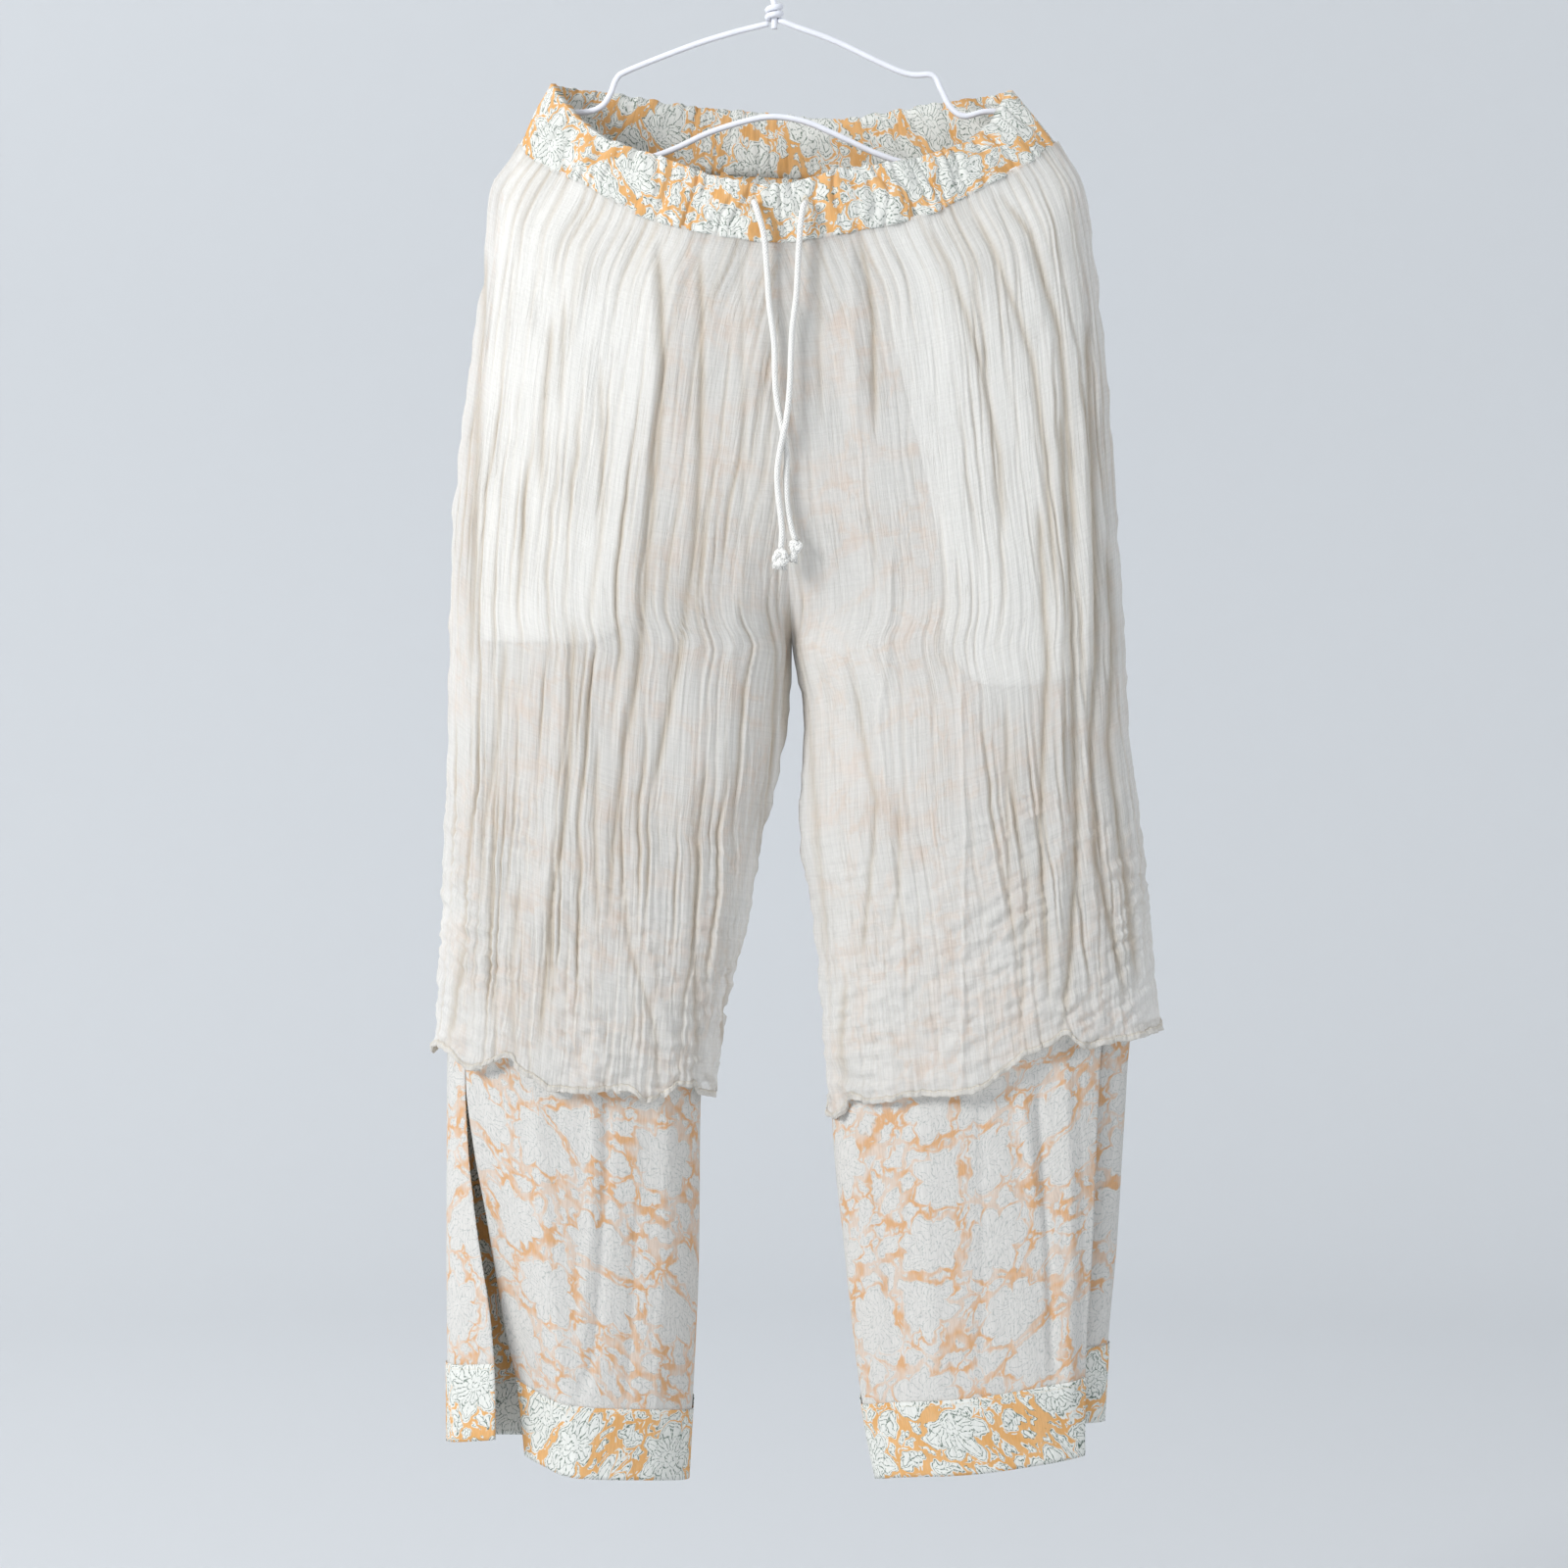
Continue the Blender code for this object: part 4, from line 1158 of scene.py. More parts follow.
class Furrow(NamedTuple):
    """One family of creases of the crinkle, all of a kind.

    Attributes:
        pitch: mean distance from crease to crease, in millimetres.
        width: half width of a crease.
        depth: how deep it is, in millimetres.
        tone: how much painted shade its creases get, which also makes the gauze less sheer there.
        seed: added to the panel's own pattern number.
    """

    pitch: float
    width: float
    depth: float
    tone: float
    seed: int

    def lines(self, place: np.ndarray, down: np.ndarray, seed: int) -> np.ndarray:
        """Where its creases run, as furrows() gives them."""
        return furrows(place, down, self.pitch, self.width, seed + self.seed)


# The last but one number of each family is how much painted shade its creases get
DEEP = Furrow(17.0, 1.8, 1.9, 0.85, 20)
SHARP = Furrow(6.2, 1.15, 1.2, 0.6, 30)
FINE = Furrow(3.3, 0.75, 0.4, 0.22, 50)
PINCHED = Furrow(7.5, 1.5, 2.3, 0.85, 40)


@dataclass
class Crinkle:
    """Crinkle of the gauze: long creases between flatter bands, uneven all over.

    Attributes:
        seed: which of the many patterns it has.
        busy: how strong it is at a few heights above the hem, from plain cloth at 0.
        calm_from: place across the cloth past which it is less than half as strong.
    """

    seed: int
    busy: Sequence[tuple[float, float]] = ((0.0, 0.8), (150.0, 1.0), (600.0, 0.7))
    calm_from: float = 1000.0

    def lift(
        self, across: np.ndarray, down: np.ndarray, above_hem: np.ndarray
    ) -> tuple[np.ndarray, np.ndarray]:
        """Height of the crinkle and depth of its creases.

        Args:
            across: place across the flat cloth from the side seam, in millimetres.
            down: place down it, in millimetres.
            above_hem: height above the hem, in millimetres.

        Returns:
            Heights in millimetres, and creases from 0 to 1.
        """
        s = self.seed
        drift = 3.4 * grain(across / 80, down / 190, s) + 0.9 * grain(across / 18, down / 60, s + 1)
        place = across + drift + 0.9 * grain(across / 14, down / 22, s + 8)
        patches = np.clip(0.65 + 1.9 * grain(across / 38, down / 90, s + 3), 0.0, 1.5)
        heights, strengths = zip(*self.busy)
        strong = np.interp(above_hem, heights, strengths)
        strong = strong * (1 - 0.55 * ease((across - self.calm_from) / 40.0))
        deep = DEEP.lines(place, down, s)
        sharp = SHARP.lines(place, down, s)
        fine = FINE.lines(place, 1.6 * down, s)
        # A crease stands up a little along one side, as cloth that was wrung does
        deep_lip = 0.7 * DEEP._replace(width=1.3).lines(place - 2.6, down, s)
        sharp_lip = 0.5 * SHARP._replace(width=0.9).lines(place - 1.7, down, s)
        lips = deep_lip + sharp_lip
        swell = 0.7 * np.abs(grain(place / 8.0 + 31, down / 260, s + 5))
        near_band = 1 - ease(down / 110.0)
        pinched = PINCHED.lines(across + 2.0 * grain(across / 20, down / 40, s + 41), down / 2, s)
        crumple = grain(across / 19, down / 7, s + 6) + 0.6 * grain(across / 9, down / 4, s + 7)
        here_and_there = np.clip(0.9 + grain(across / 50, down / 60, s + 10), 0.55, 1.4)
        crumple = crumple * np.exp(-((above_hem / 150.0) ** 2)) * here_and_there
        height = lips - DEEP.depth * deep - SHARP.depth * sharp * patches - FINE.depth * fine
        height = strong * (height + swell * patches)
        gathers = 0.9 + 2.2 * grain(across / 13, down / 150, s + 42)
        height = height + near_band * (gathers - PINCHED.depth * pinched)
        height = height + 1.2 * grain(across / 24, down / 260, s + 9) + 2.6 * crumple
        # Crease depth, which the gauze paints as shade in its colour and makes less sheer
        crease = strong * (DEEP.tone * deep + SHARP.tone * sharp * patches + FINE.tone * fine)
        crease = crease + PINCHED.tone * pinched * near_band
        return height, np.clip(crease, 0, 1)


@dataclass
class Panel:
    """A panel of one layer: which leg and which face it is on."""

    side: Side
    face: Face

    @property
    def name(self) -> str:
        """Ending of the names of its pieces, as the solids have it."""
        return f"{self.face.value}_{self.side.value}"


@dataclass
class GauzePanel(Panel):
    """Crinkled gauze from the waistband to its narrow hem.

    Attributes:
        hem: height of its hem at each share across.
        creases: its long folds.
        crinkle: its crinkle.
        columns: spaces across its mesh.
        rows: spaces down it.
        hem_depth: depth of the rolled hem, in millimetres.
        seam_edge: share across that each seam's waves reach to.
        side_turn: width of cloth that turns round the side seam, in millimetres.
        inner_turn: share of it that turns in at the inner seam.
        evenings: how many times its creases' places are evened down the rows.
    """

    hem: SmoothTable
    creases: Sequence[Crease]
    crinkle: Crinkle
    columns: int
    rows: int
    hem_depth: float = 7.0
    seam_edge: float = 0.025
    side_turn: float = 24.0
    inner_turn: float = 0.25
    evenings: int = 80

    @property
    def seam_seed(self) -> int:
        """Pattern of the waves of its leg's seams, which front and back share."""
        return 301 if self.side is Side.LEFT else 311

    def coarse(self, share: float, row: float) -> np.ndarray:
        """Point of the plain panel at shares across and down."""
        place = self.face.sign * share
        top = GAUZE_FORM.top(self.side, place)
        z = top + row * (float(self.hem(share)[0]) - top)
        return GAUZE_FORM.hung_point(self.side, place, z, top)

    def cloth(self) -> Cloth:
        """The panel with its folds and its crinkle."""
        shares, rows = np.linspace(0, 1, 81), np.linspace(0, 1, 47)
        base = np.array([[self.coarse(max(share, 1e-4), row) for share in shares] for row in rows])
        fine_shares, upper = np.linspace(0, 1, self.columns + 1), int(self.rows * 0.45)
        fine_rows = np.concatenate(
            [np.linspace(0, 0.7, upper, endpoint=False), np.linspace(0.7, 1, self.rows + 1 - upper)]
        )
        base = resample(base, rows, fine_rows)
        base = resample(base.transpose(1, 0, 2), shares, fine_shares).transpose(1, 0, 2)
        steps = np.diff(base, axis=1, prepend=base[:, :1])
        turned = np.cumsum(np.abs(steps[..., 1]), axis=1)
        turned = turned / turned[:, self.columns // 2, None]
        turned = np.minimum(turned, 1.0) + self.inner_turn * np.maximum(turned - 1.0, 0.0)
        across = np.cumsum(np.abs(steps[..., 0]), axis=1) + self.side_turn * turned
        for _ in range(self.evenings):
            across[1:-1] = 0.25 * across[:-2] + 0.5 * across[1:-1] + 0.25 * across[2:]
        down = base[0, :, 2][None, :] - base[..., 2]
        left = base[-1, :, 2][None, :] - base[..., 2]
        place = np.broadcast_to(fine_shares[None, :], down.shape)
        base = self.waved(base, place, down)
        height, crease = self.crinkle.lift(across, down, -left)
        rise, deep = crease_rise(self.creases, base[..., 0], base[..., 2])
        edge = ease(place / self.seam_edge) * ease((1 - place) / self.seam_edge)
        grown = 0.5 + 0.5 * ease(down / 40.0)
        lift = edge * (grown * height + ease(down / 12.0) * rise)
        lift = np.maximum(lift, -0.5 - 2.4 * ease(down / 75.0) - 3.5 * ease((down - 60) / 110.0))
        flat = np.stack([across, down], axis=2)
        # The crinkle's and the long creases' depths become the painted shade of the gauze's creases
        return Cloth(base, flat, np.maximum(crease, deep)).lifted(lift, self.face)

    def waved(self, base: np.ndarray, place: np.ndarray, down: np.ndarray) -> np.ndarray:
        """Gives the side seam, the inseam and the hem their small uneven waves.

        Args:
            base: points of the plain panel.
            place: share across of each point.
            down: length down the cloth to each point.

        Returns:
            The moved points.
        """
        z, seed = base[..., 2], self.seam_seed
        outer = 2.1 * grain(z / 19, 0 * z, seed) + 0.8 * grain(z / 7, 0 * z, seed + 1)
        inner = 2.5 * grain(z / 17, 0 * z, seed + 2) + 1.0 * grain(z / 6.5, 0 * z, seed + 3)
        moved = base.copy()
        moved[..., 0] += outer * (1 - ease(place / 0.05)) * ease(down / 40)
        moved[..., 0] += inner * (1 - ease((1 - place) / 0.05)) * ease((-485 - z) / 40)
        left = down[-1:] - down
        ripple = 1.1 * grain(place * 28, 0 * z, seed + 4) + 0.7 * grain(place * 67, 0 * z, seed + 5)
        inside = ease(place / 0.04) * ease((1 - place) / 0.04)
        moved[..., 2] += inside * ripple * (1 - ease(left / 35))
        return moved

    def build(self, wardrobe: Wardrobe) -> list[Object]:
        """Makes and dresses the panel and its rolled hem."""
        cloth = self.cloth()
        piece = cloth.piece(f"gauze_{self.name}_cloth", self.face)
        rolled = self.rolled_hem(cloth)
        hem = rolled.piece(f"gauze_hem_{self.name}", self.face)
        for made in (piece, hem):
            made.data.materials.append(wardrobe.gauze)
            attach(made, BODY)
        outward = cloth.normals(self.face)[-2]
        seam = stitch_line(f"gauze_hem_stitches_{self.name}", rolled.points[2] + 0.1 * outward, 2.2)
        seam.data.materials.append(wardrobe.thread)
        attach(seam, BODY)
        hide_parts(f"gauze_{self.name}")
        width = float(np.linalg.norm(np.diff(cloth.points, axis=1), axis=2).sum(axis=1).max())
        length = float(cloth.flat[..., 1].max())
        LOG.info("%s: %.0f x %.0f mm, shown %.3f m2", piece.name, width, length, cloth.shown_area())
        return [piece, hem, seam]

    def rolled_hem(self, cloth: Cloth) -> Cloth:
        """The narrow hem: cloth rolled over twice along the lowest edge, curling a little."""
        above, below = cloth.points[-3], cloth.points[-1]
        outward = cloth.normals(self.face)[-2]
        along = cloth.flat[-1, :, 0]
        curl = 3.4 * grain(along / 13, 0 * along + self.crinkle.seed, 5) - 0.2
        curl = curl + 1.3 * grain(along / 5.5, 0 * along + self.crinkle.seed, 6)
        profile = (
            (0.00, 0.25), (0.06, 0.85), (0.30, 1.15), (0.62, 1.25), (0.88, 1.20), (1.02, 0.75),
            (1.06, 0.00), (1.00, -0.65), (0.80, -0.85), (0.40, -0.70), (0.10, -0.35), (0.00, 0.25),
        )
        points, flat = [], []
        for down, out in profile:
            moved = above + (below - above) * down + outward * (out + curl * down * down)[:, None]
            points.append(moved)
            flat.append(np.stack([along, cloth.flat[-1, :, 1] + self.hem_depth * (down + (out < 0))], axis=1))
        # Painted shade: strong in the tuck above the roll and on its underside, light on its face
        crease = np.zeros((len(profile), len(along)))
        crease[:2] = 0.75
        crease[2:7] = 0.3
        crease[7:] = 0.8
        return Cloth(np.array(points), np.array(flat), crease)


@dataclass
class PrintPanel(Panel):
    """A printed leg panel, wrong side out, with its turned-up hem."""

    hem: SmoothTable
    slit: SmoothTable
    creases: Sequence[Crease]
    columns: int = 120
    wall: float = 0.5
    turn_up: float = 47.5
    turn_up_lift: float = 1.1
    tuck_share: float = 0.18
    fold_edge: float = 0.06
    seed: int = 3

    def start(self, z: float) -> float:
        """Signed share across of the free edge at a height."""
        front_edge, back_edge, _, _ = self.slit(z)
        return -float(front_edge) if self.face is Face.FRONT else -float(back_edge)

    def coarse(self, share: float, row: float) -> tuple[np.ndarray, float]:
        """Point of the plain panel, and its share across the layer."""
        z = -600.0
        for _ in range(4):
            start = self.start(z)
            place = start + (self.face.sign - start) * share
            top = PRINT_FORM.top(self.side, place)
            z = top + row * (float(self.hem(self.face.sign * place)[0]) - top)
        point = PRINT_FORM.hung_point(self.side, place, z, top)
        tuck = float(self.slit(z)[2 if self.face is Face.FRONT else 3])
        point[1] += tuck * (1 - float(ease(abs(place - start) / self.tuck_share)))
        return point, self.face.sign * place

    def cloth(self) -> Cloth:
        """The panel with its folds."""
        shares, rows = np.linspace(0, 1, 61), np.linspace(0, 1, 76)
        found = [[self.coarse(share, row) for share in shares] for row in rows]
        base = np.array([[np.append(point, place) for point, place in line] for line in found])
        fine_shares = np.linspace(0, 1, self.columns + 1)
        fine_rows = np.concatenate([np.linspace(0, 0.62, 34, endpoint=False), np.linspace(0.62, 1, 108)])
        base = resample(base, rows, fine_rows)
        base = resample(base.transpose(1, 0, 2), shares, fine_shares).transpose(1, 0, 2)
        points = base[..., :3]
        widths = np.linalg.norm(np.diff(points, axis=1), axis=2)
        across = np.concatenate([np.zeros((len(points), 1)), np.cumsum(widths, axis=1)], axis=1)
        across = across[:, -1:] - across
        down = points[0, :, 2][None, :] - points[..., 2]
        share = np.broadcast_to(fine_shares[None, :], down.shape)
        edge = ease(share / self.fold_edge) * ease((1 - share) / self.fold_edge)
        drape = 1.6 * grain(across / 55, down / 260, self.seed) + 0.5 * grain(across / 16, down / 120, self.seed + 1)
        rise, _ = crease_rise(self.creases, points[..., 0], points[..., 2])
        lift = edge * (rise + drape * ease(down / 90.0))
        flat = np.stack([across * self.face.sign * (1 if self.side is Side.LEFT else -1), down], axis=2)
        return Cloth(points, flat, np.zeros(down.shape)).lifted(lift, self.face)

    def build(self, wardrobe: Wardrobe) -> list[Object]:
        """Makes and dresses the panel and its turn-up."""
        cloth = self.cloth()
        piece = cloth.piece(f"print_{self.name}_cloth", self.face)
        piece.data.materials.append(wardrobe.wrong_side)
        piece.data.materials.append(wardrobe.face)
        thicken(piece, self.wall, lining=True)
        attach(piece, BODY)
        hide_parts(f"print_{self.name}")
        heights = cloth.flat[..., 1] / cloth.flat[-1:, :, 1]
        first = int(np.argmax(heights[:, 0] > 1 - self.turn_up / float(cloth.flat[-1, :, 1].mean())))
        hem = cloth.rows(first - 1).lifted(self.turn_up_lift, self.face)
        # The turn-up shows what the cloth has printed past its fold
        past_fold = 2 * cloth.flat[-1:, :, 1] - hem.flat[..., 1]
        hem.flat = np.stack([hem.flat[..., 0], past_fold], axis=2)
        folded = hem.piece(f"hem_turn_up_{self.name}_cloth", self.face)
        folded.data.materials.append(wardrobe.face)
        thicken(folded, self.wall)
        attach(folded, BODY)
        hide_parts(f"hem_turn_up_{self.name}")
        width, length = float(np.ptp(cloth.flat[..., 0])), float(cloth.flat[..., 1].max())
        seam = stitch_line(f"hem_stitches_{self.name}", hem.lifted(0.1, self.face).points[1, 2:-2], 2.3)
        seam.data.materials.append(wardrobe.thread)
        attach(seam, BODY)
        LOG.info("%s: %.0f x %.0f mm, shown %.3f m2", piece.name, width, length, cloth.shown_area())
        return [piece, folded, seam]


@dataclass
class Waistband:
    """One half of the gathered waistband, tip to tip."""

    face: Face
    seed: int
    buttonholes: Mapping[Side, tuple[float, float]] = field(default_factory=dict)
    columns: int = 640
    width: float = 47.0
    wall: float = 3.0
    swell: float = 1.2
    fullness: float = 1.2
    outer_rows: int = 22
    inner_rows: int = 8

    def cloth(self) -> Cloth:
        """The band as one closed wrap: down its outer side, round and up its inner side."""
        acrosses = np.linspace(-1, 1, 121)
        downs = np.linspace(0, 1, 5)
        sheets = []
        for outwards in (self.wall / 2, -self.wall / 2):
            sheets.append(
                np.array(
                    [
                        [
                            BAND.point(
                                Side.LEFT if across <= 0 else Side.RIGHT,
                                self.face.sign * max(1 - abs(across), 1e-3),
                                down,
                                outwards,
                            )
                            for across in acrosses
                        ]
                        for down in downs
                    ]
                )
            )
        fine = np.linspace(-1, 1, self.columns + 1)
        outer_downs = np.linspace(0.03, 0.97, self.outer_rows)
        inner_downs = np.linspace(0.97, 0.03, self.inner_rows)
        outer = resample(sheets[0], downs, outer_downs)
        inner = resample(sheets[1], downs, inner_downs[::-1])[::-1]
        wrap = np.concatenate([outer, inner, outer[:1]])
        wrap = resample(wrap.transpose(1, 0, 2), acrosses, fine).transpose(1, 0, 2)
        rows = len(wrap)
        down = np.concatenate([outer_downs, inner_downs, outer_downs[:1]])[:, None] * np.ones((1, len(fine)))
        outside = np.zeros((rows, 1))
        outside[: self.outer_rows] = 1
        outside[-1] = 1
        middle_row = wrap[self.outer_rows // 2 - 1]
        along = np.concatenate([[0], np.cumsum(np.linalg.norm(np.diff(middle_row, axis=0), axis=1))])
        along = along[None, :] * np.ones((rows, 1))
        height = down * self.width
        bend = 7.0 * grain(along / 38, height / 45, self.seed)
        bend = bend + height * 0.5 * grain(along / 70, 0 * height, self.seed + 4)
        slant = along + bend
        wide = furrows(slant, 3.0 * height, 23.0, 3.0, self.seed + 10)
        sharp = furrows(slant, 3.5 * height, 9.0, 1.4, self.seed + 20)
        gather = -1.9 * sharp - 2.3 * wide + 0.9 + 2.0 * grain(slant / 17, height / 40, self.seed + 3)
        gather = gather + 0.7 * grain(along / 6, height / 14, self.seed + 5)
        tip = ease((1 - np.abs(fine))[None, :] / 0.05)
        lift = tip * (gather * (0.35 + 0.65 * outside) * np.where(outside > 0, 1, -1))
        lift = lift + tip * self.swell * np.sin(math.pi * down) * np.where(outside > 0, 1, -0.3)
        flat = np.stack([along * self.fullness, height], axis=2)
        moved = wrap + lift[..., None] * self.outward(wrap)
        moved[-1] = moved[0]
        wave = 1.3 * grain(along / 9, 0 * height, self.seed + 9) - 0.8 * np.maximum(sharp, wide)[:1]
        moved[:, :, 2] += tip * wave * (1 - down)
        moved[:, :, 2] += tip * 0.7 * grain(along / 11, 0 * height, self.seed + 12) * down
        return Cloth(moved, flat, np.maximum(sharp, wide) * outside)

    def outward(self, wrap: np.ndarray) -> np.ndarray:
        """Unit directions out from the body, level, for each point of the wrap."""
        away = np.gradient(wrap, axis=1)
        normals = np.stack([away[..., 1], -away[..., 0], 0 * away[..., 0]], axis=2)
        normals /= np.maximum(np.linalg.norm(normals, axis=2, keepdims=True), 1e-9)
        return normals * (1 if (normals[..., 1] * self.face.sign).sum() > 0 else -1)

    def build(self, wardrobe: Wardrobe) -> list[Object]:
        """Makes and dresses this half of the band."""
        cloth = self.cloth()
        piece = cloth.piece(f"waistband_{self.face.value}_cloth", self.face)
        outer = piece.data.polygons[(self.outer_rows // 2 - 1) * self.columns + self.columns // 2]
        if outer.normal.y * self.face.sign < 0:
            piece.data.flip_normals()
        piece.data.materials.append(wardrobe.face)
        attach(piece, BODY)
        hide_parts(f"waistband_{self.face.value}")
        made = [piece]
        for side, place in self.buttonholes.items():
            made.append(self.buttonhole(side, place, cloth.points[: self.outer_rows], wardrobe))
        return made

    def buttonhole(
        self, side: Side, place: tuple[float, float], outer: np.ndarray, wardrobe: Wardrobe
    ) -> Object:
        """Works the bar of close stitches round the hole that a cord leaves by.

        Args:
            side: which cord it is for.
            place: middle of the hole, across and up.
            outer: grid of the band's outer side.
            wardrobe: the finishes.

        Returns:
            The stitches.
        """
        half_width, half_height, proud = 2.1, 5.4, 0.25
        middles, runs = [], []
        for angle in np.linspace(0, 2 * math.pi, 34, endpoint=False):
            away = np.array([half_width * math.cos(angle), half_height * math.sin(angle)])
            found = []
            for reach in (0.8, 1.2):
                x, z = np.array(place) + away * reach
                near = np.hypot(outer[..., 0] - x, outer[..., 2] - z)
                row, column = np.unravel_index(int(near.argmin()), near.shape)
                found.append(np.array([x, outer[row, column, 1] - proud, z]))
            middles.append((found[0] + found[1]) / 2)
            runs.append(found[1] - found[0])
        made = stitches(f"buttonhole_{side.value}", np.array(middles), np.array(runs), 1.9, 0.6)
        made.data.materials.append(wardrobe.thread)
        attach(made, BODY)
        return made


@dataclass
class PocketBag:
    """A white cotton pocket bag between the printed front and the gauze."""

    side: Side
    edges: SmoothTable
    first: float
    last: float
    top: float = 0.0
    wall: float = 0.6
    off_print: float = 2.0
    off_print_at_band: float = 0.3
    lean: int = 5
    rows: int = 70
    columns: int = 60

    def build(self, wardrobe: Wardrobe, front: PrintPanel) -> list[Object]:
        """Makes and dresses the bag on the plain printed front."""
        inner, bottom = (0, 1) if self.side is Side.LEFT else (2, 3)
        points = np.empty((self.rows + 1, self.columns + 1, 3))
        for i in range(self.columns + 1):
            inward = i / self.columns
            column = self.first + (self.last - self.first) * inward
            lowest = float(self.edges(inward)[bottom])
            for j in range(self.rows + 1):
                down = j / self.rows
                lean = float(self.edges(down)[inner]) - self.last
                points[j, i], _ = front.coarse(
                    column + lean * inward ** self.lean, self.top + down * (lowest - self.top)
                )
        across = np.cumsum(np.linalg.norm(np.diff(points, axis=1, prepend=points[:, :1]), axis=2), axis=1)
        down = points[0, :, 2][None, :] - points[..., 2]
        cloth = Cloth(points, np.stack([across, down], axis=2), np.zeros(down.shape))
        lift = self.off_print + 0.8 * grain(across / 30, down / 60, 71) + 0.4 * grain(across / 9, down / 25, 72)
        lift = self.off_print_at_band + (lift - self.off_print_at_band) * ease(down / 90.0)
        cloth = cloth.lifted(lift, Face.FRONT)
        piece = cloth.piece(f"pocket_bag_{self.side.value}_cloth", Face.FRONT)
        piece.data.materials.append(wardrobe.pocket)
        thicken(piece, self.wall)
        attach(piece, BODY)
        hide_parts(f"pocket_bag_{self.side.value}")
        shown = cloth.shown_area()
        return [piece]


@dataclass(frozen=True)
class Knot:
    """An overhand knot pulled tight at the end of a cord, and its frayed tail.

    Attributes:
        drop: depth of its middle below the cord's end.
        loop: size of its turns.
        tilt: turn about the line of sight.
        tail: route of the tail, across and down from the cord's end.
        flare: how many times the cord's width the tail opens to.
        fray: length of the loose strands.
    """

    drop: float
    loop: float
    tilt: float
    tail: Sequence[tuple[float, float]]
    flare: float
    fray: float
    strands: int = 80

    def build(self, name: str, end: np.ndarray, diameter: float) -> Object:
        """Ties the knot.

        Args:
            name: name of the piece.
            end: end of the cord's centre line, in millimetres.
            diameter: the cord's.

        Returns:
            The knot and its tail, as one piece.
        """
        turns = np.linspace(0, 2 * math.pi, 73)
        out = self.loop * (1.9 + np.cos(3 * turns))
        x, z, y = out * np.cos(2 * turns), out * np.sin(2 * turns), 1.25 * self.loop * np.sin(3 * turns)
        cosine, sine = math.cos(self.tilt), math.sin(self.tilt)
        middle = end - np.array([0.0, 0.0, self.drop])
        loop = middle + np.stack([cosine * x - sine * z, y, sine * x + cosine * z], axis=1)
        tail = smooth_path([end + np.array([across, 0.3, -down]) for across, down in self.tail], 1.0)
        made = [
            tube(f"{name}_loop", loop, lambda _: diameter * 0.47, 14),
            tube(f"{name}_tail", tail, lambda share: diameter / 2 * (0.9 + (self.flare - 0.9) * share), 16),
        ]
        along = (tail[-1] - tail[-2]) / np.linalg.norm(tail[-1] - tail[-2])
        aside = np.cross(along, (0.0, 1.0, 0.0))
        chance = np.random.default_rng(7)
        for number in range(self.strands):
            angle = chance.uniform(0, 2 * math.pi)
            far = diameter / 2 * self.flare * 0.95 * math.sqrt(chance.uniform(0, 1))
            lean = math.cos(angle) * aside + math.sin(angle) * np.array([0.0, 1.0, 0.0])
            length = self.fray * chance.uniform(0.6, 1.0)
            sway = 0.12 * lean + chance.normal(0, 0.16, 3)
            strand = [
                tail[-1] + far * lean + along * (length * t - 1.2) + sway * length * t * t
                for t in (0.0, 0.35, 0.7, 1.0)
            ]
            path = smooth_path(strand, 1.0)
            made.append(tube(f"{name}_strand_{number}", path, lambda share: 0.5 - 0.15 * share, 6))
        return joined(made, name)


@dataclass
class Drawstring:
    """One free end of the round cotton cord, with its knot."""

    side: Side
    route: Sequence[Sequence[float]]
    knot: Knot
    diameter: float = 4.0

    def build(self, wardrobe: Wardrobe) -> list[Object]:
        """Makes and dresses the cord and its knot."""
        path = smooth_path(self.route, 2.5)
        cord = tube(f"drawstring_{self.side.value}_cord", path, lambda _: self.diameter / 2, 14)
        cord.data.materials.append(wardrobe.cord)
        knot = self.knot.build(f"drawstring_knot_{self.side.value}_tied", path[-1], self.diameter)
        knot.data.materials.append(wardrobe.cord)
        for piece, node in ((cord, "drawstring"), (knot, "drawstring_knot")):
            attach(piece, BODY)
            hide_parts(f"{node}_{self.side.value}")
        return [cord, knot]


